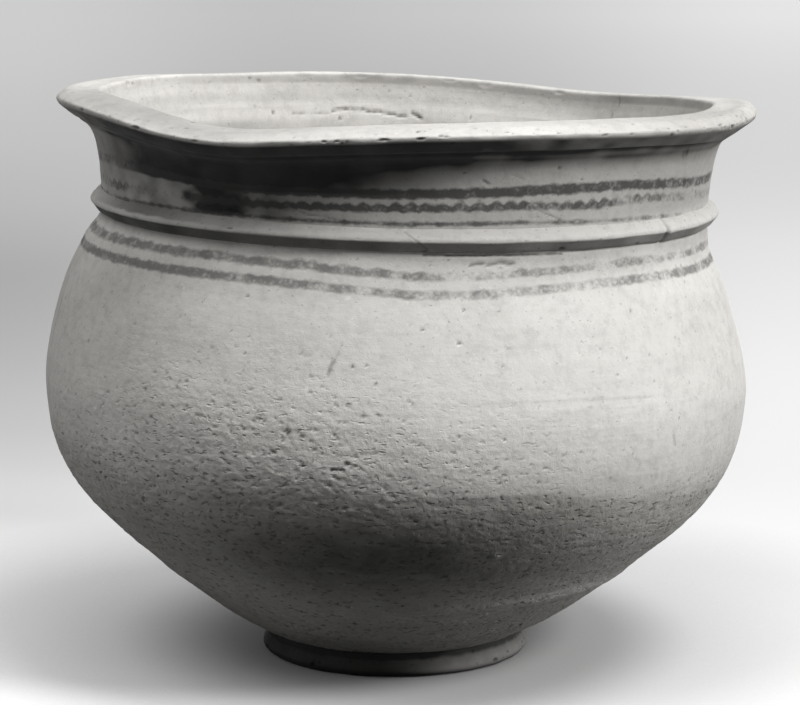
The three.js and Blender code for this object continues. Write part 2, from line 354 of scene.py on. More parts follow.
# The lip's own section carries the outline on, from the top of the neck over to the inside
LIP_CORNERS = [
    (NECK_TOP_RADIUS, NECK_TOP, 0),
    (NECK_TOP_RADIUS + 1.4, NECK_TOP + 1.7, 1.0),
    (*LIP_CREASE, 0.3),
    (150.0, 239.3, 2.3),
    (LIP_RADIUS - 0.1, 241.7, 1.3),
    (LIP_RADIUS, 244.2, 1.1),
    (LIP_RADIUS - 5.5, 246.9, 2.5),
    (LIP_RADIUS - 19.2, 247.7, 1.2),
    (LIP_RADIUS - 20.4, 246.3, 0.6),
    (LIP_RADIUS - 20.9, 242.8, 1.3),
    (LIP_RADIUS - 21.3, 239.4, 1.8),
    (neck_inside(233.6), 233.6, 1.2),
    (neck_inside(NECK_TOP), NECK_TOP, 0),
]
LIP_STEP = 0.72
LIP_RUN = rounded(LIP_CORNERS, LIP_STEP)
LIP_LENGTH = lengths_along(LIP_RUN)[-1]


def lip_along(radius, height):
    """How far along the lip's section it comes nearest to a radius and a height."""
    distances = np.hypot(LIP_RUN[:, 0] - radius, LIP_RUN[:, 1] - height)
    return float(lengths_along(LIP_RUN)[distances.argmin()])


LIP_CREASE_ALONG = lip_along(*LIP_CREASE)
LIP_EDGE_ALONG = lip_along(LIP_RADIUS, 243.0)
LIP_INNER_ALONG = lip_along(LIP_RADIUS - 20.2, 246.8)


# Noise fields: seed, cells round the jar, length of a cell up the wall
SWELL = Noise(11, 14, 34.0)
DENT = Noise(12, 44, 13.0)
LUMP = Noise(13, 120, 5.0)
DRAG = Noise(14, 26, 1.7)
DRAG_SHORT = Noise(15, 90, 1.3)
GRAIN = Noise(16, 700, 1.1)
CLOUD = Noise(17, 9, 40.0)
PATCH = Noise(18, 34, 16.0)
WOBBLE = Noise(19, 22, 50.0)
FINGER = Noise(20, 64, 50.0)
TEMPER = Noise(21, 290, 1.9)
TEMPER_FINE = Noise(22, 430, 1.3)
FINGER_RIDGES = Noise(41, 7, 4.5)
TURNTABLE_RINGS = Noise(61, 5, 3.0)


# What the colour and the fine relief of the clay follow, point by point, painted shade and painted light
# among them
FIELDS = ("hole", "stain", "scraped", "rough", "soot")


class Finish:
    """What the surface of a stretch does: how far it is raised, and what its colour follows."""

    def __init__(self, degrees, along):
        self.degrees, self.along = degrees, along
        for name in ("raised", "cut", *FIELDS):
            setattr(self, name, np.zeros(np.broadcast(degrees, along).shape))

    def window(self, degrees, along, reach, radius):
        """The rows and columns within reach of a point, and their distances from it in mm."""
        rows = np.flatnonzero(np.abs(self.along[:, 0] - along) < reach)
        offsets = arc_length(self.degrees[0], degrees, radius)
        columns = np.flatnonzero(np.abs(offsets) < reach)
        if not len(rows) or not len(columns):
            return None
        return np.ix_(rows, columns), offsets[columns][None, :], self.along[rows] - along

    def pit(self, degrees, along, half_length, half_height, depth, turn=0.0, radius=150.0, tint=1.0):
        """A bowl in the surface, or a bump if depth is below 0. turn slants it, and tint says how dark the
        painted shade in it is."""
        found = self.window(degrees, along, half_length * 1.1, radius)
        if found is None:
            return
        place, right, up = found
        slant = math.radians(turn)
        ahead = right * math.cos(slant) + up * math.sin(slant)
        aside = up * math.cos(slant) - right * math.sin(slant)
        bowl = np.clip(1 - (ahead / half_length) ** 2 - (aside / half_height) ** 2, 0, 1) ** 1.5
        self.raised[place] -= depth * bowl
        # Painted shade in the bowl, darker where it is deeper
        dark = np.minimum(1.5 * bowl, 1) * min(1.0, depth / 0.45) * tint
        self.hole[place] = np.maximum(self.hole[place], dark)

    def crack(self, points, width, depth, burr=0.0, jitter=0.3, radius=140.0):
        """A groove that wanders from side to side every millimetre or so, and varies in depth."""
        random = np.random.default_rng(71)
        path = [points[0]]
        for (start_degrees, start), (end_degrees, end) in zip(points, points[1:]):
            length = math.hypot(arc_length(end_degrees, start_degrees, radius), end - start)
            count = max(2, int(length / 1.2))
            for share in np.arange(1, count + 1) / count:
                wander = random.normal(0, jitter) * (share < 1)
                here = start_degrees + away(end_degrees, start_degrees) * share
                path.append((here, start + (end - start) * share + wander))
        for first, second in zip(path, path[1:]):
            self.groove([first, second], width, depth * random.uniform(0.45, 1.1), burr, 0.0, radius)

    def groove(self, points, width, depth, burr=0.0, stain=0.0, radius=140.0):
        """A scratch along points, each an angle and a distance along, with a raised edge, or a
        ridge if depth is below 0. Where stretches of it overlap the deepest counts."""
        for (start_degrees, start), (end_degrees, end) in zip(points, points[1:]):
            length = arc_length(end_degrees, start_degrees, radius)
            rise = end - start
            reach = max(abs(length), abs(rise)) + width * 3
            found = self.window(start_degrees, start, reach, radius)
            if found is None:
                continue
            place, right, up = found
            share = np.clip((right * length + up * rise) / (length**2 + rise**2), 0, 1)
            distance = np.hypot(right - share * length, up - share * rise)
            cut = np.exp(-((distance / (width / 2)) ** 2))
            edge = np.exp(-(((distance - width) / (width / 2)) ** 2))
            deeper = np.maximum(depth * cut - self.cut[place], 0) if depth > 0 else depth * cut
            self.cut[place] += np.maximum(deeper, 0)
            self.raised[place] += burr * edge - deeper
            # Painted shade in the groove, darker where it is deeper
            self.hole[place] = np.maximum(self.hole[place], cut * min(1.0, depth / 0.5))
            self.stain[place] += stain * cut

    def small_pits(self, seed, count, sizes, places, flat, deep, radius):
        """Pits scattered all round over places along. flat and deep are shares of a pit's size."""
        random = np.random.default_rng(seed)
        for _ in range(count):
            size = random.uniform(*sizes)
            place = random.uniform(*places)
            self.pit(random.uniform(0, 360), place, size, size * flat, deep * size, radius=radius)


def pitted(degrees, height):
    """Share of chaff pits: most on the belly, at the left of the front and at the back."""
    left_belly = hump(degrees, 246, 27) * bell(height, 102, 24)
    back_belly = 0.6 * hump(degrees, 75, 50) * bell(height, 98, 24)
    low_wall = 0.35 * fading(height, 84, 104)
    return np.maximum(left_belly, back_belly) + low_wall


def scattered_pits(seed, count):
    """Pits left by burnt-out chaff: angle, height, half length, half height, depth and slant."""
    random = np.random.default_rng(seed)
    pits = []
    while len(pits) < count:
        degrees = random.uniform(0, 360)
        height = random.uniform(FOOT_HEIGHT + 2, NECK_TOP - 6)
        share = pitted(degrees, height)
        clustered = np.clip(0.75 + 0.9 * PATCH(np.array(degrees), np.array(height)), 0.15, 1.6)
        if random.uniform() > 0.03 + share * clustered:
            continue
        size = min(random.lognormal(-0.15, 0.36), 1.5) * np.interp(share, [0.05, 0.3], [0.72, 1.0])
        half_length = float(np.clip(1.1 * size, 0.8, 2.6))
        half_height = float(np.clip(half_length * random.uniform(0.32, 0.6), 0.55, 1.05))
        depth = float(np.clip(0.32 * size * random.uniform(0.6, 1.5), 0.14, 0.7))
        pits.append((degrees, height, half_length, half_height, depth, random.normal(-12, 15)))
    return pits


PITS = scattered_pits(seed=31, count=4200)


def turned_clay(done, rough):
    """Relief of clay that was turned: slow swells and dents, lumps, and drag where it is rough."""
    degrees, along = done.degrees, done.along
    done.raised += 0.30 * (SWELL(degrees, along) - 1) + 0.16 * (DENT(degrees, along) - 1)
    done.raised += rough * (0.07 * LUMP(degrees, along) + 0.06 * DRAG(degrees, along))
    done.raised += rough * 0.06 * DRAG_SHORT(degrees, along) + 0.03 * GRAIN(degrees, along)
    # Temper stands out where the wall is rough, dragged a little downwards to the right
    slanted = along + 35 + 30 * np.sin(np.radians(degrees - 250))
    smoother = done.rough * (1 - 0.45 * hump(degrees, 315, 22))
    done.raised += smoother * (0.13 * TEMPER(degrees, slanted) + 0.11 * TEMPER_FINE(degrees, slanted))
    done.stain += 0.10 * CLOUD(degrees, along) + 0.08 * PATCH(degrees, along)


def fire_dark_and_shade(done, height, reach=1.0):
    """Soot and painted shadow of the lip above the upper stripe, from the left of the front to its middle,
    and a dark cloud low on the body, fire clouding that also paints the shade of its lower front. reach
    fades the first, so that it ends below the lip's edge."""
    degrees = done.degrees
    lumps = LUMP(degrees, done.along)
    ragged = 2.0 * FINGER(degrees, 30.0) + 1.5 * lumps
    right = np.interp(height, [205, 222, 227, 231, 236], [256, 262, 268, 275, 278]) + ragged
    floor_of_it = 218.8 + 0.5 * FINGER(degrees, 20.0)
    upper = smoothstep(away(degrees, 220), -22, 12) * fading(away(degrees, right), -10, 22)
    done.soot += 0.97 * reach * upper * smoothstep(height, floor_of_it - 0.6, floor_of_it + 0.6)
    # A thinner painted shadow close under the lip, which reaches on to the right, and a darkening at the
    # left
    painted_lip_shadow = smoothstep(height, 227.0, 233.5) * hump(degrees, 292, 32) * reach
    left = hump(degrees, 220, 21) * smoothstep(height, 190, 203)
    done.soot += (0.60 * painted_lip_shadow + 0.50 * left * (1 - 0.6 * (1 - reach))) * (1.0 + 0.3 * lumps)
    done.stain += 0.36 * hump(degrees, 330, 17) * smoothstep(height, 205, 210)
    # A ragged blot over the wavy line and the lower stripe
    left_side = smoothstep(away(degrees, 229.5) + 4.0 * lumps, -3, 3)
    right_side = fading(away(degrees, 243) + 4.0 * lumps, -5, 7)
    far_right = fading(away(degrees, 250), -8, 14) * (0.8 + 0.4 * lumps)
    sides = left_side * (0.5 * right_side + 0.5 * far_right)
    blot = sides * smoothstep(height + 1.6 * lumps, 205.6, 209.2) * fading(height, 219, 221)
    done.soot += 0.88 * blot * np.clip(0.95 + 0.5 * PATCH(degrees * 3, done.along * 2.0), 0.3, 1)
    cloud = hump(degrees, 268, 24) * bell(height, 70, 16.5)
    cloud = cloud * (1.0 + 0.1 * CLOUD(degrees, done.along) + 0.1 * lumps)
    done.soot += 0.86 * np.clip(cloud, 0, 1)
    done.soot = np.clip(done.soot, 0, 0.99)


def break_line(degrees):
    """Height at which the smoothed upper wall gives way to the scraped one."""
    level = np.interp(away(degrees, 290), [-30, -9, 4, 22, 40], [103, 100.9, 99.3, 94.4, 92])
    return level + 1.2 * WOBBLE(degrees, 120.0)


def wall_finish(degrees, along):
    done = Finish(degrees, along)
    height = np.interp(along, OUTLINE_ALONG, OUTLINE[:, 1])
    sharp = np.maximum(hump(degrees, 294, 17), 0.8 * hump(degrees, 110, 30))
    width = 1.6 * sharp + 24 * (1 - sharp)
    below = break_line(degrees) - height
    done.scraped = smoothstep(below, -width / 2, width / 2)
    done.rough = np.clip(0.55 * done.scraped + pitted(degrees, height), 0, 1)
    turned_clay(done, 0.35 + 0.65 * done.scraped)
    done.raised -= 0.30 * done.scraped * sharp
    # Just below the sharp part of the break the scraped wall is darkest
    dark = hump(degrees, 290, 19) * smoothstep(below, 0, 1.6) * fading(below, 10, 26)
    done.stain += 0.30 * dark * (1.0 + 0.4 * LUMP(degrees, along))
    # Lines that the turntable left: at the turning height, and the low ridge
    turning = TURNING_HEIGHT + 0.6 - 1.4 * smoothstep(away(degrees, 298), 0, 20)
    shown = 0.08 + 0.5 * hump(degrees, 298, 10)
    done.raised += 0.14 * shown * (bell(height, turning + 0.9, 0.7) - bell(height, turning - 0.5, 0.8))
    ridge = 41.0 + 1.5 * smoothstep(away(degrees, 298), -10, 25)
    done.raised += 0.85 * bell(height, ridge, 2.2) * (0.5 + 0.5 * hump(degrees, 305, 35))
    # Painted highlight where the low ridge catches the light from the right
    done.stain -= 0.45 * hump(degrees, 308, 15) * bell(height, ridge + 1.5, 3.0)
    done.stain -= 0.34 * hump(degrees, 264, 22) * bell(height, 148, 20)
    for pit_degrees, pit_height, *shape in PITS:
        place = along_at(pit_height)
        done.pit(pit_degrees, place, *shape, radius=np.interp(place, OUTLINE_ALONG, OUTLINE[:, 0]))
    wall_marks(done)
    fire_dark_and_shade(done, height)
    return done


# Marks of the wall that can be told apart, whose places are angles and heights. Each crack and
# each groove has its places, width, depth and other settings
WALL_CRACKS = [
    # Clay dragged up and torn on the neck, with scratches to its right
    (
        [(232.0, 208.6), (234.4, 209.6), (236.6, 208.2), (238.8, 209.2), (241.0, 207.6)],
        0.8, 0.6, {"burr": 0.3},
    ),
    ([(248.5, 210.6), (251.2, 210.9), (253.6, 209.2), (256.4, 208.9), (259.7, 207.2)], 0.7, 0.4, {}),
    ([(290.9, 214.9), (294.6, 211.4), (297.7, 208.7)], 0.6, 0.45, {"jitter": 0.15}),
    ([(292.0, 216.0), (293.8, 214.4)], 0.6, 0.35, {"jitter": 0.1}),
    ([(308.5, 221.3), (308.8, 219.6), (309.0, 217.6)], 0.7, 0.5, {"jitter": 0.1}),
    ([(287.7, 226.8), (290.2, 224.6)], 0.6, 0.3, {"jitter": 0.1}),
    ([(283.0, 224.4), (283.9, 223.2)], 0.9, 0.5, {"jitter": 0.1}),
    # Below the cordon
    (
        [(273.2, 195.4), (279.3, 195.1), (286.4, 195.2), (290.0, 194.9), (298.2, 195.0)],
        1.0, 1.0, {"jitter": 0.2},
    ),
    ([(281.6, 191.3), (282.6, 191.9), (283.8, 192.0)], 1.2, 1.1, {"jitter": 0.15}),
    ([(284.6, 191.4), (285.6, 191.8), (286.6, 192.4), (287.9, 192.2)], 1.2, 1.1, {"jitter": 0.15}),
    ([(288.2, 191.6), (289.2, 191.9)], 1.2, 1.1, {"jitter": 0.15}),
    # On the body, the last of them along the turning line
    ([(254.6, 156.2), (256.0, 155.4), (257.2, 155.7)], 0.8, 0.35, {"radius": BODY_RADIUS}),
    ([(260.5, 153.4), (260.1, 150.8), (259.8, 148.2)], 1.5, 0.7, {"jitter": 0.15, "radius": BODY_RADIUS}),
    ([(283.0, 138.4), (289.0, 138.8), (299.0, 138.2), (312.4, 136.4)], 0.8, 0.14, {"jitter": 0.1}),
]
WALL_GROOVES = [
    # Smears and scratches on the body
    ([(261.8, 160.8), (261.2, 156.5), (260.5, 153.0)], 1.1, 0.05, {"stain": 0.4, "radius": BODY_RADIUS}),
    ([(192.0, 168.0), (192.6, 158.0), (191.8, 147.0), (192.4, 138.0)], 1.6, 0.04, {"stain": 0.35}),
    ([(313.6, 135.0), (313.3, 124.0), (313.6, 113.5)], 1.4, 0.03, {"burr": 0.04, "stain": -0.4}),
    ([(317.6, 119.0), (318.2, 115.0)], 1.5, 0.1, {"stain": 0.4}),
    # A pebble that stands out of the scraped wall, and a white grit
    ([(287.7, 71.7), (288.1, 71.7)], 3.0, -0.9, {"stain": -0.5}),
    ([(293.4, 36.7), (293.7, 36.7)], 1.6, -0.3, {"stain": -1.2}),
]
WALL_GRITS = [(216.6, 131.0), (216.0, 122.0), (205.0, 124.0), (219.0, 88.0), (262.0, 178.0)]

# Each pit: its angle and height, half length, half height and depth
WALL_PITS = [
    (279.6, 227.6, 1.0, 0.7, 0.6),
    (296.3, 228.8, 1.0, 0.8, 0.7),
    (301.3, 224.2, 1.2, 0.5, 0.5),
    (334.5, 214.8, 0.7, 1.0, 0.6),
    (279.9, 161.9, 1.2, 0.8, 0.7),
    (263.5, 152.0, 1.1, 0.8, 0.7),
    (265.6, 153.0, 0.9, 0.6, 0.4),
    (245.0, 176.5, 1.0, 0.7, 0.7),
    (311.8, 171.0, 0.9, 0.7, 0.5),
    (286.4, 71.4, 1.0, 1.5, 0.6),
]


def on_wall(places):
    return [(degrees, along_at(height)) for degrees, height in places]


def wall_marks(done):
    """The single marks of the wall, with a gouge under the lip at the right."""
    for places, width, depth, settings in WALL_CRACKS:
        done.crack(on_wall(places), width, depth, **settings)
    gouge = [(325.0, NECK_END + 4.0), (326.2, NECK_END + 1.2), (327.4, NECK_END - 0.8)]
    done.crack(gouge, 1.0, 0.9, burr=0.3)
    for degrees, height, *shape in WALL_PITS:
        done.pit(degrees, along_at(height), *shape)
    for places, width, depth, settings in WALL_GROOVES:
        done.groove(on_wall(places), width, depth, **settings)
    for degrees, height in WALL_GRITS:
        done.groove(on_wall([(degrees, height), (degrees + 0.2, height)]), 1.3, -0.06, stain=-1.2)


def inside_finish(degrees, along):
    """The inside: ridges of the turning fingers, the marks at the mouth, and painted shade that deepens
    below it."""
    done = Finish(degrees, along)
    done.raised += 0.28 * (FINGER_RIDGES(degrees, along) - 1) + 0.12 * (DENT(degrees, along) - 1)
    done.raised += 0.05 * LUMP(degrees, along) + 0.04 * DRAG(degrees, along)
    done.stain += 0.16 * CLOUD(degrees + 40, along) + 0.12 * PATCH(degrees, along)
    # Painted shade a little below the mouth, most of all at the left
    below = smoothstep(inside_along(229.5) - along, 0, 6)
    done.stain += (0.06 + 0.66 * hump(degrees, 140, 22)) * below
    # Close under the mouth, painted shade at its far left and far right, and painted light between them
    above = smoothstep(along, inside_along(226.0), inside_along(231.0))
    done.stain += (0.42 * hump(degrees, 150, 26) + 0.42 * hump(degrees, 8, 14)) * above
    done.stain -= 0.40 * hump(degrees, 58, 14) * above
    mouth_marks(done)
    return done


def mouth_marks(done):
    """Cracks and pits inside the neck, at the back, which show over the lip."""
    cracks = [
        ([(115.0, 228.4), (112.6, 228.0), (110.8, 228.6), (108.8, 228.0), (106.6, 228.6)], 0.6, 0.4),
        (
            [(106.0, 229.0), (104.4, 229.7), (103.2, 229.9), (101.7, 230.6), (100.4, 229.8), (98.6, 229.5)],
            0.8, 1.0,
        ),
        ([(98.6, 229.5), (97.2, 228.8), (96.0, 229.4), (95.0, 228.6), (93.6, 228.2)], 0.8, 1.2),
        ([(93.6, 228.2), (92.6, 228.0), (91.3, 227.2), (89.9, 227.4)], 0.9, 1.3),
        ([(88.6, 228.8), (87.6, 227.8), (86.6, 226.6)], 1.2, 1.8),
    ]
    for points, width, depth in cracks:
        path = [(degrees, inside_along(height)) for degrees, height in points]
        done.crack(path, width, depth, jitter=0.35, radius=MOUTH_RADIUS)
    pits = [(119.4, 228.7, 1.2), (104.3, 225.7, 1.1), (123.6, 231.8, 0.9), (76.0, 228.6, 0.9)]
    for degrees, height, size in pits:
        done.pit(degrees, inside_along(height), size, size * 0.75, 0.7, radius=MOUTH_RADIUS)


def smooth_finish(degrees, along):
    done = Finish(degrees, along)
    done.raised += 0.14 * (DENT(degrees, along) - 1) + 0.05 * LUMP(degrees, along)
    done.stain += 0.10 * CLOUD(degrees, along) + 0.08 * PATCH(degrees, along)
    return done


def foot_finish(degrees, along):
    done = smooth_finish(degrees, along)
    done.raised += 0.35 * (WOBBLE(degrees, 30.0) - 1) * smoothstep(along, 14, 22) - 0.06
    done.raised += 0.05 * DRAG(degrees, along) * smoothstep(along, 16, 20)
    done.raised += 0.25 * smoothstep(along, 23.0, 24.5)
    done.small_pits(47, 45, (0.6, 1.4), (16, 24), 0.55, 0.3, FOOT_RADIUS)
    for spot, size in [(196, 3.0), (233, 1.8), (318, 2.2), (64, 2.6), (127, 2.0)]:
        done.pit(spot, 17.6, size, 1.4, 1.1, radius=FOOT_RADIUS)
    # Painted shade in the groove, along the bottom edge and, from the left of the front to its middle, all
    # over; the foot is darker all round as well
    lumps = LUMP(degrees, along)
    groove = smoothstep(along + 0.3 * lumps, 22.6, 24.4)
    edge = bell(along, 15.4, 1.1)
    done.stain += 0.25 * fading(along, 2, 9) + 0.20 * (1.0 + 0.5 * lumps)
    left = smoothstep(away(degrees, 188), -14, 10) * fading(away(degrees, 280), -16, 20)
    done.soot += np.clip(0.44 + 0.44 * left + 0.42 * groove + 0.35 * edge, 0, 0.95)
    return done


def cordon_finish(degrees, along):
    """A pinched strip: finger marks, a thicker end that laps over the thinner one, and a scratch."""
    done = smooth_finish(degrees, along)
    middle = 7.6
    past_join = away(degrees, CORDON_JOIN)
    fat = np.where(past_join > 0, 1.0, -0.55) * np.exp(-np.abs(past_join) / 7.0)
    crest = bell(along, middle, 3.4)
    lumps = LUMP(degrees, along)
    done.raised += crest * (0.35 * (FINGER(degrees, 20.0) - 1) + 0.25 * lumps * 0.5)
    done.raised += crest * (0.75 * fat - 0.45 * hump(degrees, 258, 9))
    done.raised += 0.06 * DRAG_SHORT(degrees, along) + 0.03 * GRAIN(degrees, along)
    curved = past_join - 0.05 * (along - middle) - 0.25 * LUMP(degrees * 3, along)
    join = np.exp(-((curved / 0.28) ** 2))
    done.raised -= 0.8 * join * bell(along, middle, 5.0)
    # Painted shade in the join
    done.hole = np.maximum(done.hole, join * 0.45)
    scratch = [
        (270.0, middle + 4.6),
        (271.3, middle + 1.6),
        (272.6, middle - 1.6),
        (273.6, middle - 4.6),
    ]
    done.groove(scratch, 0.9, 0.28, burr=0.1, radius=CORDON_RADIUS)
    # Pits, and a crumb beside the first: angle, distance from the middle, half sizes and depth
    for spot, off_middle, *shape in [
        (273.3, -5.8, 2.0, 0.9, 0.9),
        (274.4, -5.2, 1.0, 0.8, -0.5),
        (297.9, -5.0, 1.8, 1.1, 0.8),
        (315.1, -5.6, 1.5, 1.0, 0.7),
        (239.0, 1.5, 2.0, 0.8, 0.6),
    ]:
        done.pit(spot, middle + off_middle, *shape, radius=CORDON_RADIUS)
    done.small_pits(53, 150, (0.5, 1.0), (1, 14), 0.7, 0.25, CORDON_RADIUS)
    # Darker over its top at the left of the front
    top = smoothstep(along + 0.6 * lumps, middle + 1.2, middle + 3.0)
    done.soot += 0.45 * top * hump(degrees, 216, 13) + 0.30 * hump(degrees, 222, 24)
    # Painted shade under the crest
    under = smoothstep(7.2 - along + 0.3 * lumps, 0, 1.0)
    done.soot += 0.64 * under * (1.0 + 0.2 * FINGER(degrees, 35.0)) * (1 - 0.4 * hump(degrees, 345, 10))
    done.soot = np.clip(done.soot, 0, 0.95)
    return done


def lip_finish(degrees, along):
    """The lip: creased below, uneven along its edge, with chips, nicks and small pits."""
    done = Finish(degrees, along)
    past = along - NECK_END
    edge = bell(past, LIP_EDGE_ALONG, 4.0)
    lumps = LUMP(degrees, along)
    turned_clay(done, 0.35)
    # Towards its inner end the lip takes on the relief of the inside of the neck
    inside = inside_finish(degrees, inside_along(NECK_TOP) + LIP_LENGTH - past)
    share = smoothstep(past, LIP_LENGTH - 11, LIP_LENGTH - 3)
    done.raised = done.raised * (1 - share) + inside.raised * share
    done.raised += edge * (0.32 * (WOBBLE(degrees, 50.0) - 1) + 0.25 * (FINGER(degrees, 60.0) - 1))
    done.raised += edge * (0.22 * lumps - 0.1) + 0.06 * DENT(degrees, along * 2.0)
    # The crease under the lip is plain from the front to the right, and fades round the rest
    from_right = away(degrees, 292)
    strength = np.clip(smoothstep(from_right, -60, -38) * fading(from_right, 34, 52), 0.3, 1)
    wander = LIP_CREASE_ALONG + 0.5 * WOBBLE(degrees, 10.0)
    done.raised -= 0.95 * strength * bell(past, wander, 0.75)
    done.rough += 0.5 * hump(degrees, 337, 12)
    # Far right and far left the lip is fuller on top
    done.raised += 2.2 * hump(degrees, 0, 15) * bell(past, LIP_EDGE_ALONG + 5.5, 3.6)
    done.raised += 1.5 * hump(degrees, 178, 17) * bell(past, LIP_EDGE_ALONG + 5.0, 3.6)
    # Painted shade along its inner half at the left front, and over the bevel, most of all at the back and
    # at the right
    inner = smoothstep(past, LIP_EDGE_ALONG + 2.5, LIP_EDGE_ALONG + 8.0)
    inner = inner * fading(past, LIP_INNER_ALONG, LIP_INNER_ALONG + 3)
    done.stain += inner * (0.34 * hump(degrees, 207, 22) + 0.12 * hump(degrees, 250, 24))
    bevel = smoothstep(past, LIP_INNER_ALONG - 0.4, LIP_INNER_ALONG + 0.6)
    bevel = bevel * fading(past, LIP_INNER_ALONG + 3.8, LIP_INNER_ALONG + 5.0) * (1.0 + 0.3 * lumps)
    done.stain += bevel * (0.10 + 0.46 * hump(degrees, 97, 27) + 0.40 * hump(degrees, 25, 22))
    done.stain += inside.stain * share
    # Painted shade underneath it, darkest in the crease
    below_edge = fading(past, LIP_EDGE_ALONG - 4.0, LIP_EDGE_ALONG - 1.0)
    under = smoothstep(past, 0, 2.5) * below_edge
    done.soot += 0.42 * under * (1.0 + 0.2 * lumps) + 0.5 * strength * bell(past, wander, 0.8)
    lip_marks(done)
    wall_marks(done)
    fire_dark_and_shade(done, NECK_TOP + past * 0.75, below_edge * (1 - 0.45 * smoothstep(past, 0, 3.5)))
    return done


# Chips of the lip's edge and hollows of its inner edge: angle, half length, half height, depth
LIP_CHIPS = [
    (223.6, 2.6, 2.0, 1.3), (266.2, 2.0, 1.2, 0.9), (271.9, 2.4, 1.4, 1.1), (236.0, 2.0, 1.2, 0.7),
    (259.5, 1.6, 1.0, 0.7), (301.0, 2.2, 1.0, 0.5), (333.0, 2.6, 1.4, 0.8), (20.0, 3.4, 2.0, 1.2),
    (96.0, 3.0, 1.8, 1.1), (207.0, 2.4, 1.2, 0.6), (341.0, 1.8, 1.4, 0.8),
]
LIP_HOLLOWS = [
    (99.5, 4.2, 1.6, 0.9), (81.0, 4.4, 1.1, 0.6), (73.5, 4.0, 2.6, 0.7), (161.0, 3.2, 2.4, 1.2),
    (57.0, 3.4, 1.4, 0.7), (112.0, 6.0, 2.0, 0.5), (300.0, 4.0, 1.4, 0.5), (246.0, 5.0, 1.6, 0.5),
]


def lip_marks(done):
    """Small pits all over the lip, more of them along its edge, and its larger marks."""
    edge_place = NECK_END + LIP_EDGE_ALONG
    random = np.random.default_rng(59)
    for _ in range(420):
        size = float(np.clip(random.lognormal(-0.3, 0.4), 0.5, 1.6))
        place = NECK_END + random.uniform(3, LIP_LENGTH - 3)
        flat = random.uniform(0.5, 0.85)
        spot = random.uniform(0, 360)
        done.pit(spot, place, size, size * flat, 0.22 * size, random.normal(0, 20), LIP_RADIUS)
    for _ in range(150):
        size = float(np.clip(random.lognormal(0.0, 0.3), 0.6, 1.8))
        spot = random.normal(336, 11) if random.uniform() < 0.3 else random.uniform(0, 360)
        place = edge_place + random.normal(0.0, 2.6)
        done.pit(spot, place, size, size * 0.7, 0.42 * size, random.normal(0, 20), LIP_RADIUS)
    for spot, *shape in LIP_CHIPS:
        done.pit(spot, edge_place - 0.6, *shape, 12, LIP_RADIUS)
    for spot, *shape in LIP_HOLLOWS:
        done.pit(spot, NECK_END + LIP_INNER_ALONG + 0.8, *shape, 0, LIP_RADIUS - 20, 0.35)
    # Upright nicks at the right of the mouth
    nicks = [([(41.6, 15.0), (41.3, 10.5)], 0.8, 0.6), ([(43.0, 7.5), (42.7, 4.5)], 0.7, 0.4)]
    for ends, width, depth in nicks:
        nick = [(spot, LIP_LENGTH - short + NECK_END) for spot, short in ends]
        done.crack(nick, width, depth, radius=NICK_RADIUS)
    # A fold of clay under the lip at the far left
    fold = [(205.0, NECK_END + 3.6), (207.2, NECK_END + 2.6), (209.4, NECK_END + 1.2)]
    done.groove(fold, 1.2, 0.9)


def push_of(run, along):
    """The way that relief moves the skin: outward, blended over a few millimetres, so that the
    skin doesn't fold over at a corner."""
    outward = outward_of(run)
    reach = max(1, int(round(PUSH_REACH / abs(along[2] - along[1]))))
    padded = np.pad(outward, ((reach, reach), (0, 0)), mode="edge")
    blended = sum(padded[k : k + len(run)] for k in range(2 * reach + 1))
    return blended / np.linalg.norm(blended, axis=1)[:, None]


def skin(run, along, finish):
    """Points, normals and colour fields of the surface that a run sweeps. The run and its
    distances have one spare point at each end, which only the normals use."""
    done = finish(DEGREES[None, :], along[:, None])
    push = push_of(run, along)
    radius = run[:, :1] + push[:, :1] * done.raised
    height = run[:, 1:] + push[:, 1:] * done.raised
    points = settle(radius, DEGREES[None, :], height)
    upward = points[2:] - points[:-2]
    round_jar = (np.roll(points, -1, axis=1) - np.roll(points, 1, axis=1))[1:-1]
    normals = np.cross(round_jar, upward)
    normals /= np.linalg.norm(normals, axis=2, keepdims=True)
    fields = {name: getattr(done, name)[1:-1] for name in FIELDS}
    made = {"points": points[1:-1], "normals": normals, "fields": fields}
    return {**made, "run": run[1:-1], "along": along[1:-1]}


def loose_skin(corners, step, finish, start=0.0):
    """A skin along a rounded run of its own, whose distances count from start."""
    run = rounded(corners, step)
    along = lengths_along(run)
    run = np.vstack([2 * run[:1] - run[1:2], run, 2 * run[-1:] - run[-2:-1]])
    spare = along[1]
    along = start + np.concatenate([[-spare], along, [along[-1] + spare]])
    return skin(run, along, finish)


def hidden_row(radius, height):
    """A row of points inside the clay, where pieces join, in the form of a skin."""
    points = settle(np.full((1, COLUMNS), radius), DEGREES[None, :], np.full((1, COLUMNS), height))
    fields = {field: np.zeros((1, COLUMNS)) for field in FIELDS}
    return {"points": points, "normals": np.zeros_like(points), "fields": fields}


def corners_of(row, column, rows, columns):
    """The four corners of each quad whose first corner is at a row and a column."""
    next_row, next_column = (row + 1) % rows, (column + 1) % columns
    return [(row, column), (row, next_column), (next_row, next_column), (next_row, column)]


def unwrap(column, columns, arcs, low, high, margin):
    """Map coordinates of quads, in arcs that lie one above another. low and high say how far
    across its strip each quad begins and ends."""
    in_arc = columns // arcs
    arc = column // in_arc
    u = (column % in_arc) / in_arc
    v = [(arc + margin + share * (1 - 2 * margin)) / arcs for share in (low, low, high, high)]
    return np.column_stack([u, u + 1 / in_arc, u + 1 / in_arc, u]).ravel(), np.column_stack(v).ravel()


def add_object(name, data):
    made = bpy.data.objects.new(name, data)
    bpy.context.scene.collection.objects.link(made)
    return made


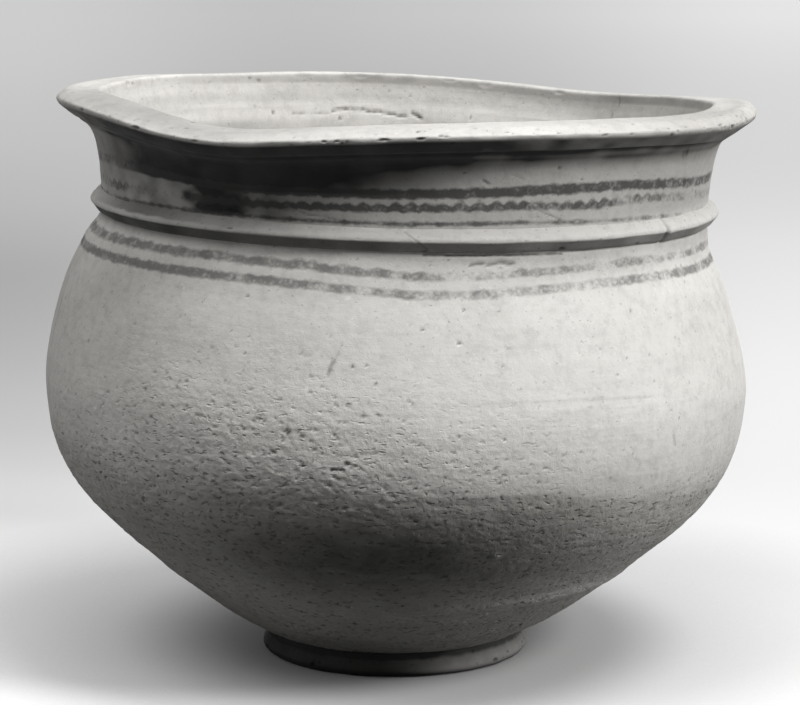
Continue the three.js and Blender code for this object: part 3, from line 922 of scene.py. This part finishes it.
def finish_mesh(name, vertices, faces, loop_normals, flat, fields, loop_u, loop_v):
    """A mesh object from arrays. faces are a block of quads and, for some pieces, a block of
    triangles. Flat faces and loops with a zero normal keep plain shading."""
    mesh = bpy.data.meshes.new(name)
    mesh.vertices.add(len(vertices))
    mesh.vertices.foreach_set("co", vertices.astype(np.float32).ravel())
    loops = np.concatenate([block.ravel() for block in faces])
    sizes = np.concatenate([np.full(len(block), block.shape[1]) for block in faces])
    mesh.loops.add(len(loops))
    mesh.loops.foreach_set("vertex_index", loops.astype(np.int32))
    mesh.polygons.add(len(sizes))
    mesh.polygons.foreach_set("loop_start", (np.cumsum(sizes) - sizes).astype(np.int32))
    mesh.polygons.foreach_set("use_smooth", ~flat)
    mesh.update(calc_edges=True)
    for field, values in fields.items():
        layer = mesh.attributes.new(field, "FLOAT", "POINT")
        layer.data.foreach_set("value", values.astype(np.float32).ravel())
    layer = mesh.uv_layers.new(name="OFBake")
    layer.data.foreach_set("uv", np.column_stack([loop_u, loop_v]).astype(np.float32).ravel())
    mesh.normals_split_custom_set(loop_normals.reshape(-1, 3).tolist())
    mesh.validate()
    return add_object(name, mesh)


def ring_piece(name, parts, ends=None):
    """A closed ring of clay. parts are skins and hidden rows, in order round its section,
    counter-clockwise. With ends, two heights, it is a disc, whose first and last rows run in
    to points on the axis at those heights."""
    points, normals = (np.concatenate([part[key] for part in parts]) for key in ("points", "normals"))
    fields = {field: np.concatenate([part["fields"][field] for part in parts]) for field in FIELDS}
    # Quads are smooth as far as the last row of each part, and flat from there to the next part
    lengths = [len(part["points"]) for part in parts]
    smooth_row = np.concatenate([np.arange(length) < length - 1 for length in lengths])
    rows, columns = points.shape[:2]
    whole = rows if ends is None else rows - 1
    row, column = np.meshgrid(np.arange(whole), np.arange(columns), indexing="ij")
    row, column = row.ravel(), column.ravel()
    corners = corners_of(row, column, rows, columns)
    quads = np.column_stack([r * columns + c for r, c in corners])
    smooth = smooth_row[row]
    loop_normals = np.stack([normals[r, c] * smooth[:, None] for r, c in corners], axis=1)
    # The unwrap cuts the ring into as many arcs as make its texels about square
    steps = np.linalg.norm(np.roll(points, -1, axis=0)[:, 0] - points[:, 0], axis=1)
    places = np.concatenate([[0.0], np.cumsum(steps)])
    size = 2 * math.pi * np.linalg.norm(points[:, 0, :2], axis=1).max()
    arcs = max(1, int(round(math.sqrt(size / places[-1]))))
    while columns % arcs:
        arcs += 1
    low, high = places[row] / places[-1], places[row + 1] / places[-1]
    loop_u, loop_v = unwrap(column, columns, arcs, low, high, ARC_EDGE)
    loop_u = loop_u * MAP_USED + MAP_START
    vertices = points.reshape(-1, 3)
    faces = [quads]
    if ends is not None:
        # Fans that close the disc at its middle, with the colours of the rows they start from
        first = len(vertices)
        apexes = np.concatenate([settle(np.zeros((1, 1)), 0.0, np.full((1, 1), end))[0] for end in ends])
        vertices = np.concatenate([vertices, apexes])
        here = np.arange(columns)
        after = (here + 1) % columns
        outermost = (rows - 1) * columns
        low_fan = np.column_stack([np.full(columns, first), after, here])
        high_fan = np.column_stack([outermost + here, outermost + after, np.full(columns, first + 1)])
        faces.append(np.concatenate([low_fan, high_fan]))
        for field, values in fields.items():
            fields[field] = np.concatenate([values.reshape(-1), values[0, :1], values[-1, :1]])
        in_arc = columns // arcs
        around = np.repeat((here % in_arc) / in_arc * MAP_USED + MAP_START, 3)
        loop_u = np.concatenate([loop_u, around, around])
        fans_v = [np.full(3 * columns, loop_v[0]), np.full(3 * columns, loop_v[-1])]
        loop_v = np.concatenate([loop_v, *fans_v])
        smooth = np.concatenate([smooth, np.zeros(2 * columns, bool)])
    loop_normals = np.concatenate([loop_normals.reshape(-1, 3), np.zeros((len(loop_u) - quads.size, 3))])
    return finish_mesh(name, vertices, faces, loop_normals, ~smooth, fields, loop_u, loop_v)


def film_piece(name, wall, band):
    """A film of paint on the quads of a wall's skin that a band reaches. It stands a little
    proud of the clay, and its underside lies within the clay."""
    across = band_across(band, DEGREES[None, :], wall["along"][:, None])
    near = np.abs(across) < band["width"] / 2 + FILM_MARGIN
    covered = near[:-1] | near[1:]
    covered = covered | np.roll(covered, -1, axis=1)
    row, column = np.nonzero(covered)
    rows, columns = near.shape
    top = np.column_stack([r * columns + c for r, c in corners_of(row, column, rows, columns)])
    used = np.unique(top)
    index = np.full(rows * columns, -1)
    index[used] = np.arange(len(used))
    top = index[top]
    count = len(used)
    # An edge that only one quad has lies on the film's border
    edges = np.concatenate([top[:, [k, (k + 1) % 4]] for k in range(4)])
    keys = edges[:, 0].astype(np.int64) * count + edges[:, 1]
    back_keys = edges[:, 1].astype(np.int64) * count + edges[:, 0]
    border = edges[~np.isin(keys, back_keys)]
    sides = np.column_stack([border[:, 1], border[:, 0], border[:, 0] + count, border[:, 1] + count])
    bottom = top[:, ::-1] + count
    clay = wall["points"].reshape(-1, 3)[used]
    normal = wall["normals"].reshape(-1, 3)[used]
    edge = np.zeros(count, bool)
    edge[border.ravel()] = True
    proud = np.where(edge, -FILM_PROUD, FILM_PROUD)[:, None] * MM
    vertices = np.concatenate([clay + normal * proud, clay - normal * FILM_SUNK * MM])
    quads = np.concatenate([top, sides, bottom])
    loop_normals = np.zeros((len(quads), 4, 3))
    loop_normals[: len(top)] = normal[top]
    flat = np.arange(len(quads)) >= len(top)
    fields = {field: np.tile(values.reshape(-1)[used], 2) for field, values in wall["fields"].items()}
    fields["across"] = np.tile(across.reshape(-1)[used], 2)
    places, worn = zip(*band["worn"])
    worn_here = np.interp(DEGREES, places, worn, period=360)
    fields["worn"] = np.tile(worn_here[used % columns], 2)
    # The top is unwrapped in arcs, and what is hidden shares the map's lowest edge
    span = wall["along"]
    low_row, high_row = row.min(), row.max() + 1
    share = (span - span[low_row]) / (span[high_row] - span[low_row])
    loop_u, loop_v = unwrap(column, columns, FILM_ARCS, share[row], share[row + 1], FILM_ARC_EDGE)
    hidden = len(quads) - len(top)
    loop_u = np.concatenate([loop_u, np.zeros(hidden * 4)])
    loop_v = np.concatenate([loop_v * MAP_USED + FILM_START, np.full(hidden * 4, FILM_HIDDEN)])
    return finish_mesh(name, vertices, [quads], loop_normals, flat, fields, loop_u, loop_v)


def band_across(band, degrees, along):
    """How far above the middle of a band a point lies, in mm up the wall. A wavy band is a row
    of humps, and is a little wider at each."""
    waver = 0.35 * PATCH(degrees + 90, 20.0) + 0.45 * WOBBLE(degrees, 15.0)
    level = np.interp(degrees, *zip(*band["level"]), period=360)
    middle = band["height"] + level + waver - band["dip"] * hump(degrees, BAND_DIP_DEGREES, BAND_DIP_SPREAD)
    phase = np.radians(degrees * WAVES / 2) + 0.9 * PATCH(degrees, 60.0)
    even = 1.0 if band["wave"] > 0.7 else 0.35
    humps = (2 * np.abs(np.sin(phase)) - 1) * (0.75 + 0.4 * FINGER(degrees, 90.0))
    humps = even * humps + (1 - even) * 1.6 * LUMP(degrees, 8.0)
    middle = middle + 0.7 * band["wave"] * humps
    return (along - along_at(middle)) / (1 + 0.22 * band["wave"] * humps)


# Linear colours of the materials, and the noise of the clay's small voids
CLAY_COLOUR = (0.70, 0.685, 0.655)
PALE_AND_LIT_COLOUR = (0.83, 0.815, 0.785)
SCRAPED_COLOUR = (0.56, 0.545, 0.515)
STAIN_AND_SHADE_COLOUR = (0.27, 0.26, 0.245)
PIT_SHADE_AND_GRIT_COLOUR = (0.11, 0.105, 0.10)
SOOT_AND_SHADE_COLOUR = (0.020, 0.020, 0.020)
PAINT_COLOUR = (0.055, 0.053, 0.052)
VOIDS = (300.0, 2.0, 0.5, (1.0, 1.0, 2.0))


class Graph:
    """The nodes of one material. A socket or a plain value can be given as any input."""

    def __init__(self, name):
        self.material = bpy.data.materials.new(name)
        self.material.use_nodes = True
        self.tree = self.material.node_tree
        self.shader = self.tree.nodes["Principled BSDF"]
        self.place = self.node("ShaderNodeTexCoord").outputs["Object"]

    def node(self, kind, inputs=(), **settings):
        made = self.tree.nodes.new(kind)
        for setting, value in settings.items():
            setattr(made, setting, value)
        for name, value in dict(inputs).items():
            self.feed(made.inputs[name], value)
        return made

    def feed(self, socket, value):
        if isinstance(value, bpy.types.NodeSocket):
            self.tree.links.new(value, socket)
        else:
            socket.default_value = value

    def maths(self, operation, first, second=0.0, third=0.0):
        made = self.node("ShaderNodeMath", {0: first, 1: second, 2: third}, operation=operation)
        return made.outputs[0]

    def times(self, product, *factors):
        for factor in factors:
            product = self.maths("MULTIPLY", product, factor)
        return product

    def noise(self, scale, detail=3.0, rough=0.55, stretch=None):
        place = self.place
        if stretch:
            place = self.node("ShaderNodeMapping", {"Vector": place, "Scale": stretch}).outputs[0]
        inputs = {"Vector": place, "Scale": scale, "Detail": detail, "Roughness": rough}
        return self.node("ShaderNodeTexNoise", inputs).outputs[0]

    def field(self, name):
        return self.node("ShaderNodeAttribute", attribute_name=name).outputs["Fac"]

    def between(self, value, low, high, start=0.0, end=1.0, kind="SMOOTHSTEP"):
        inputs = {"Value": value, "From Min": low, "From Max": high, "To Min": start, "To Max": end}
        return self.node("ShaderNodeMapRange", inputs, interpolation_type=kind).outputs[0]

    def ramp(self, value, stops):
        """A smooth curve through stops, each a value and what it becomes."""
        low, high = stops[0][0], stops[-1][0]
        top = max(level for _, level in stops)
        made = self.node("ShaderNodeValToRGB", {"Fac": self.between(value, low, high, kind="LINEAR")})
        made.color_ramp.interpolation = "B_SPLINE"
        made.color_ramp.elements.remove(made.color_ramp.elements[1])
        for index, (place, level) in enumerate(stops):
            share = (place - low) / (high - low)
            stop = made.color_ramp.elements.new(share) if index else made.color_ramp.elements[0]
            stop.position = share
            stop.color = (level / top, level / top, level / top, 1.0)
        return self.times(made.outputs["Color"], top)

    def mix(self, share, first, second):
        made = self.node("ShaderNodeMix", {"Factor": share}, data_type="RGBA")
        sockets = [socket for socket in made.inputs if socket.type == "RGBA"]
        for socket, value in zip(sockets, (first, second)):
            self.feed(socket, (*value, 1.0) if isinstance(value, tuple) else value)
        return [socket for socket in made.outputs if socket.type == "RGBA"][0]


def clay_colour(graph):
    """Colour of the fired clay: clouds, streaks of the turning, grits and stains, with painted shade in
    pits, cracks, voids and under overhangs, and painted highlights.
    """
    scraped = graph.field("scraped")
    stain = graph.field("stain")
    colour = graph.mix(scraped, CLAY_COLOUR, SCRAPED_COLOUR)
    cloud = graph.between(graph.noise(16.0, 5.0, 0.6), 0.35, 0.75, 0.0, 0.40)
    colour = graph.mix(cloud, colour, PALE_AND_LIT_COLOUR)
    streak = graph.between(graph.noise(16.0, 5.0, 0.65, stretch=(1.0, 1.0, 7.0)), 0.46, 0.70)
    streaked = graph.times(streak, graph.maths("MULTIPLY_ADD", scraped, 0.20, 0.10))
    colour = graph.mix(streaked, colour, STAIN_AND_SHADE_COLOUR)
    mottle = graph.between(graph.noise(150.0, 5.0, 0.7), 0.42, 0.72, 0.0, 0.24)
    colour = graph.mix(mottle, colour, STAIN_AND_SHADE_COLOUR)
    dark_grit = graph.between(graph.noise(480.0, 2.0, 0.5, stretch=(1.0, 1.0, 1.5)), 0.66, 0.76, 0.0, 0.40)
    colour = graph.mix(dark_grit, colour, PIT_SHADE_AND_GRIT_COLOUR)
    # Painted shade in the small voids of rough clay
    voids = graph.between(graph.noise(*VOIDS), 0.57, 0.74, 0.0, 0.70)
    colour = graph.mix(graph.times(voids, graph.field("rough")), colour, PIT_SHADE_AND_GRIT_COLOUR)
    pale_grit = graph.between(graph.noise(430.0, 1.0), 0.68, 0.75, 0.0, 0.5)
    colour = graph.mix(pale_grit, colour, PALE_AND_LIT_COLOUR)
    # Stains and painted shade darken it; pale grits and painted highlights lighten it
    colour = graph.mix(graph.maths("MAXIMUM", stain, 0.0), colour, STAIN_AND_SHADE_COLOUR)
    pale = graph.maths("MAXIMUM", graph.times(stain, -1.0), 0.0)
    colour = graph.mix(pale, colour, PALE_AND_LIT_COLOUR)
    # Painted shade in pits, cracks and scratches
    colour = graph.mix(graph.times(graph.field("hole"), 0.66), colour, PIT_SHADE_AND_GRIT_COLOUR)
    # Soot, and painted shade on the neck, under the lip, under the cordon and on the foot
    return graph.mix(graph.field("soot"), colour, SOOT_AND_SHADE_COLOUR)


def clay_surface(graph):
    """Relief too fine for the mesh: tool drag, small voids and the grain of the clay."""
    rough = graph.field("rough")
    strength = graph.maths("MULTIPLY_ADD", rough, 0.45, 0.18)
    drag = graph.noise(34.0, 5.0, 0.65, stretch=(1.0, 1.0, 9.0))
    voids = graph.between(graph.noise(*VOIDS), 0.58, 0.74)
    lumps = graph.noise(340.0, 3.0, 0.55)
    grain = graph.noise(1500.0, 3.0, 0.6)
    height = graph.times(drag, strength)
    height = graph.maths("SUBTRACT", height, graph.times(voids, rough))
    lumpy = graph.times(lumps, graph.maths("MULTIPLY_ADD", rough, 0.9, 0.30))
    height = graph.maths("ADD", lumpy, height)
    height = graph.maths("MULTIPLY_ADD", grain, 0.16, height)
    bump = graph.node("ShaderNodeBump", {"Height": height, "Distance": 0.0006, "Strength": 0.9})
    graph.feed(graph.shader.inputs["Normal"], bump.outputs["Normal"])
    shine = graph.between(graph.noise(70.0, 4.0), 0.3, 0.7, 0.80, 0.96)
    graph.feed(graph.shader.inputs["Roughness"], shine)
    graph.shader.inputs["Specular IOR Level"].default_value = 0.2


def clay_material(name):
    graph = Graph(name)
    graph.feed(graph.shader.inputs["Base Color"], clay_colour(graph))
    clay_surface(graph)
    return graph.material


def paint_material(name, width, dark):
    """Worn matt paint over the clay: ragged along its edges, and thin or gone in patches."""
    graph = Graph(name)
    inside = graph.maths("SUBTRACT", width / 2, graph.maths("ABSOLUTE", graph.field("across")))
    ragged = graph.maths("MULTIPLY_ADD", graph.noise(240.0, 3.0, 0.6), 3.0, -1.5)
    cover = graph.between(graph.maths("ADD", inside, ragged), -0.6, 0.9)
    patch = graph.noise(110.0, 4.0, 0.6)
    speckle = graph.noise(480.0, 2.0, 0.6)
    wear = graph.maths("MULTIPLY_ADD", speckle, 0.6, patch)
    wear = graph.maths("MULTIPLY_ADD", graph.field("worn"), 0.50, wear)
    kept = graph.between(wear, 1.38, 0.82)
    colour = graph.mix(graph.times(cover, kept, dark), clay_colour(graph), PAINT_COLOUR)
    graph.feed(graph.shader.inputs["Base Color"], colour)
    clay_surface(graph)
    return graph.material


# Tone of the floor, a painted fall-off of the light, at depths into the picture, at its far left and its
# far right. Depths are in metres from a line FLOOR_START in front of the jar. FLOOR_GLOW is how much light
# is its own
FLOOR_START, FLOOR_GLOW = 1.4, 0.48
FLOOR_LEFT = [
    (1.30, 1.50), (1.38, 1.44), (1.48, 1.22), (1.58, 1.02), (1.68, 0.80), (1.78, 0.64), (1.90, 0.57),
    (2.16, 0.46), (2.54, 0.37), (2.80, 0.43), (3.10, 0.48), (3.70, 0.53), (5.00, 0.60), (6.50, 0.61),
]
FLOOR_RIGHT = [
    (1.30, 1.36), (1.43, 1.32), (1.50, 1.21), (1.58, 1.06), (1.68, 0.95), (1.80, 0.92), (2.00, 0.93),
    (2.33, 0.87), (2.80, 0.78), (3.10, 0.72), (3.50, 0.68), (4.30, 0.69), (5.10, 0.72), (6.50, 0.82),
]


def floor_material():
    """A pale floor whose painted light shades off to a darker grey at the far left. To the camera part of
    its light is its own, which softens the shadow, and fades close round the jar as a painted contact
    shadow. Other rays find it dull, so it throws little light up on to the jar."""
    graph = Graph("pale_floor")
    parts = graph.node("ShaderNodeSeparateXYZ", {"Vector": graph.place}).outputs
    depth = graph.maths("ADD", parts["Y"], FLOOR_START)
    sideways = graph.maths("DIVIDE", parts["X"], depth)
    rightward = graph.between(sideways, -0.15, 0.15)
    left = graph.ramp(depth, FLOOR_LEFT)
    right = graph.ramp(depth, FLOOR_RIGHT)
    tone = graph.maths("MULTIPLY_ADD", rightward, graph.maths("SUBTRACT", right, left), left)
    # Far back it is a little darker in the middle
    middle = graph.between(graph.maths("ABSOLUTE", sideways), 0.02, 0.13, 0.14, 0.0)
    tone = graph.maths("SUBTRACT", tone, graph.times(middle, graph.between(depth, 3.2, 4.6)))
    # Close round the jar the floor's own light fades: a painted contact shadow
    clear = graph.node("ShaderNodeAmbientOcclusion", {"Distance": 0.18}, samples=8).outputs["AO"]
    clear = graph.maths("POWER", clear, 2.0)
    rays = graph.node("ShaderNodeLightPath")
    direct = graph.maths("MAXIMUM", rays.outputs["Is Camera Ray"], rays.outputs["Is Glossy Ray"])
    glow = graph.times(direct, clear, tone, FLOOR_GLOW)
    shade = graph.maths("MULTIPLY_ADD", direct, graph.maths("MULTIPLY_ADD", tone, 0.38, -0.05), 0.08)
    colour = graph.node("ShaderNodeCombineColor", {"Red": shade, "Green": shade, "Blue": shade})
    graph.feed(graph.shader.inputs["Base Color"], colour.outputs["Color"])
    graph.shader.inputs["Emission Color"].default_value = (1.0, 1.0, 1.0, 1.0)
    graph.feed(graph.shader.inputs["Emission Strength"], glow)
    graph.shader.inputs["Roughness"].default_value = 0.9
    graph.shader.inputs["Specular IOR Level"].default_value = 0.1
    return graph.material


def course(name, low, high, step, inside_step=INSIDE_STEP):
    """A course of the wall between two heights, and its outer skin. Its hidden ends slant up
    inwards, as the frame's do."""
    run, along = wall_run(along_at(low), along_at(high), step)
    outer = skin(run, along, wall_finish)
    top = along_at(min(high + JOIN_SLANT, NECK_TOP))
    run, along = wall_run(top, along_at(low + JOIN_SLANT), inside_step, WALL_THICKNESS)
    inner = skin(run, along, inside_finish)
    return ring_piece(name, [outer, inner]), outer


def lower_wall():
    """The lowest course, whose inside rounds off into the floor of the jar."""
    run, along = wall_run(along_at(FOOT_HEIGHT), along_at(RIDGE_HEIGHT), 0.7)
    outer = skin(run, along, wall_finish)
    top = along_at(RIDGE_HEIGHT + JOIN_SLANT)
    run, along = wall_run(top, along_at(LOW_WALL_HEIGHT), INSIDE_STEP, WALL_THICKNESS)
    inner = skin(run, along, inside_finish)
    end_radius, end_height = inner["run"][-1]
    corners = [(end_radius, end_height, 0), (59.0, 19.6, 6.0), (49.3, BASE_TOP + 0.2, 0)]
    floor_edge = loose_skin(corners, 1.5, smooth_finish)
    # Its first row is the last one of the inner skin
    for key in ("points", "normals"):
        floor_edge[key] = floor_edge[key][1:]
    floor_edge["fields"] = {field: values[1:] for field, values in floor_edge["fields"].items()}
    hidden = hidden_row(BASE_RADIUS + 0.2, FOOT_HEIGHT)
    return ring_piece("lower_wall_course", [outer, inner, floor_edge, hidden])


def base_disc():
    """The disc that closes the bottom. Both of its faces run in to a point at the axis."""
    low_end = BASE_RECESS + 0.35
    under = [(1.2, low_end, 0), (25.0, BASE_RECESS + 0.25, 10), (BASE_RADIUS, BASE_RECESS, 0)]
    top = [(49.2, BASE_TOP, 0), (25.0, BASE_TOP - 0.25, 10), (1.2, BASE_TOP, 0)]
    low_skin, top_skin = (loose_skin(corners, 1.2, base_finish) for corners in (under, top))
    parts = [low_skin, hidden_row(BASE_RADIUS, FOOT_HEIGHT - 0.2), top_skin]
    return ring_piece("base_disc", parts, ends=(low_end, BASE_TOP))


def base_finish(degrees, along):
    """Rings left by the turntable, which die out towards the axis and the edge."""
    done = Finish(degrees, along)
    done.raised += 0.12 * TURNTABLE_RINGS(degrees, along) * bell(along, 26, 12)
    done.stain += 0.10 + 0.15 * bell(along, 26, 14) * PATCH(degrees, along)
    return done


def ring_foot():
    corners = [
        (FOOT_INNER_RADIUS, BASE_RECESS - 0.2, 0),
        (FOOT_INNER_RADIUS + 0.3, 0.9, 1.4),
        (FOOT_INNER_RADIUS + 3.0, 0.0, 1.3),
        (FOOT_RADIUS - 2.0, 0.0, 1.2),
        (FOOT_RADIUS - 0.2, 1.8, 1.2),
        (FOOT_RADIUS, 5.0, 1.9),
        (FOOT_RADIUS - 2.0, 7.9, 1.4),
        (GROOVE_RADIUS - 0.9, 9.4, 0.5),
        (GROOVE_RADIUS - 0.5, FOOT_HEIGHT + 0.1, 0),
    ]
    heights = (FOOT_HEIGHT, BASE_RECESS - 0.2)
    hidden = [hidden_row(BASE_RADIUS + 0.2, height) for height in heights]
    return ring_piece("ring_foot", [loose_skin(corners, 0.6, foot_finish), *hidden])


def cordon():
    """A strip pressed on to the wall, with its edges sunk in the clay."""
    corners = []
    for height, stand, reach in [
        (CORDON_BOTTOM - 0.4, -0.9, 0),
        (CORDON_BOTTOM + 0.6, 1.2, 0.8),
        (CORDON_CREST - 0.7, 4.6, 0.7),
        (CORDON_CREST + 0.9, 4.2, 0.8),
        (CORDON_TOP - 0.9, 1.1, 1.0),
        (CORDON_TOP + 0.4, -0.9, 0),
    ]:
        wall_radius = np.interp(height, OUTLINE[:, 1], OUTLINE[:, 0])
        corners.append((wall_radius + stand, height, reach))
    return ring_piece("neck_cordon", [loose_skin(corners, 0.42, cordon_finish)])


def add_piece(piece, node, material):
    piece.data.materials.append(material)
    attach(piece, "root")
    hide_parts(node)


def make_jar():
    clay = clay_material("smoothed_clay")
    scraped = clay_material("scraped_clay")
    add_piece(base_disc(), "base_disc", clay)
    add_piece(ring_foot(), "ring_foot", clay)
    add_piece(lower_wall(), "lower_wall_course", scraped)
    flank, _ = course("flank_course", RIDGE_HEIGHT, BREAK_HEIGHT, step=0.86)
    add_piece(flank, "flank_course", scraped)
    belly, _ = course("belly_course", BREAK_HEIGHT, TURNING_HEIGHT, step=0.62)
    add_piece(belly, "belly_course", clay)
    shoulder, shoulder_skin = course("shoulder_course", TURNING_HEIGHT, CORDON_CREST, step=0.78)
    add_piece(shoulder, "shoulder_course", clay)
    add_piece(cordon(), "neck_cordon", clay)
    neck, neck_skin = course("neck_wall", CORDON_CREST, NECK_TOP, step=0.62, inside_step=0.8)
    add_piece(neck, "neck_wall", clay)
    lip = ring_piece("rim_coil", [loose_skin(LIP_CORNERS, LIP_STEP, lip_finish, NECK_END)])
    add_piece(lip, "rim_coil", clay)
    for node, band in BANDS.items():
        wall = shoulder_skin if band["dip"] else neck_skin
        film = film_piece(node, wall, band)
        paint = paint_material(node + "_paint", band["width"], band["dark"])
        add_piece(film, node, paint)


def make_floor():
    """A wide flat floor, which fills the camera's view."""
    radius, rings, sides = 9.0, 12, 64
    turn = np.arange(sides) * 2 * math.pi / sides
    distances = radius * (np.arange(1, rings + 1) / rings) ** 2
    vertices = [(0.0, 0.0, 0.0)]
    vertices += [(d * math.cos(t), d * math.sin(t), 0.0) for d in distances for t in turn]
    faces = [(0, 1 + k, 1 + (k + 1) % sides) for k in range(sides)]
    for ring in range(rings - 1):
        first = 1 + ring * sides
        for k in range(sides):
            right = (k + 1) % sides
            faces.append((first + k, first + sides + k, first + sides + right, first + right))
    mesh = bpy.data.meshes.new("floor")
    mesh.from_pydata(vertices, [], faces)
    mesh.materials.append(floor_material())
    floor = add_object("floor", mesh)
    floor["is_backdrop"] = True


def add_sun(name, azimuth, elevation, softness, strength):
    """A soft lamp from an azimuth and an elevation, all in degrees."""
    lamp = bpy.data.lights.new(name, "SUN")
    lamp.angle = math.radians(softness)
    lamp.energy = strength
    lamp_object = add_object(name, lamp)
    turn, rise = math.radians(azimuth), math.radians(elevation)
    towards = (math.cos(rise) * math.cos(turn), math.cos(rise) * math.sin(turn), math.sin(rise))
    lamp_object.location = [LAMP_DISTANCE * part for part in towards]
    lamp_object.rotation_euler = (math.pi / 2 - rise, 0, turn + math.pi / 2)


# How bright the world is as a light and as a backdrop
WORLD_LIGHT, WORLD_BACKDROP = 0.03, 0.58

# Soft lamps: azimuth, elevation, softness and strength
LAMP_DISTANCE = 2.0
LAMPS = {
    "key_light": (326, 40, 14, 1.75),
    "high_key_light": (330, 68, 24, 1.65),
    "fill_light": (212, 60, 30, 1.05),
    "left_side_light": (195, 12, 40, 0.28),
    "right_side_light": (358, 8, 30, 0.95),
}


def make_lights():
    for name, settings in LAMPS.items():
        add_sun(name, *settings)
    world = bpy.data.worlds.new("studio")
    world.use_nodes = True
    background = world.node_tree.nodes["Background"]
    rays = world.node_tree.nodes.new("ShaderNodeLightPath")
    strength = world.node_tree.nodes.new("ShaderNodeMapRange")
    world.node_tree.links.new(rays.outputs["Is Camera Ray"], strength.inputs["Value"])
    strength.inputs["To Min"].default_value = WORLD_LIGHT
    strength.inputs["To Max"].default_value = WORLD_BACKDROP
    world.node_tree.links.new(strength.outputs[0], background.inputs["Strength"])
    background.inputs["Color"].default_value = (1.0, 1.0, 1.0, 1.0)
    bpy.context.scene.world = world


# The camera's place in metres, and how many degrees below level it looks
CAMERA_PLACE = (0.00045, -1.316, 0.355)
CAMERA_TILT = 9.57


def make_camera():
    """The photograph's view: a long lens a little above the rim, looking down."""
    camera = bpy.data.cameras.new("camera")
    camera.lens = 135
    camera.sensor_width = 36
    camera.clip_end = 50
    camera_object = add_object("camera", camera)
    camera_object.location = CAMERA_PLACE
    camera_object.rotation_euler = (math.radians(90 - CAMERA_TILT), 0, 0)
    bpy.context.scene.camera = camera_object


make_jar()
make_floor()
make_lights()
make_camera()
bpy.context.scene.view_settings.view_transform = "Standard"

sizes = {"cad": cad_box, "visual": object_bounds()}
sizes = {name: [[float(value) for value in corner] for corner in box] for name, box in sizes.items()}
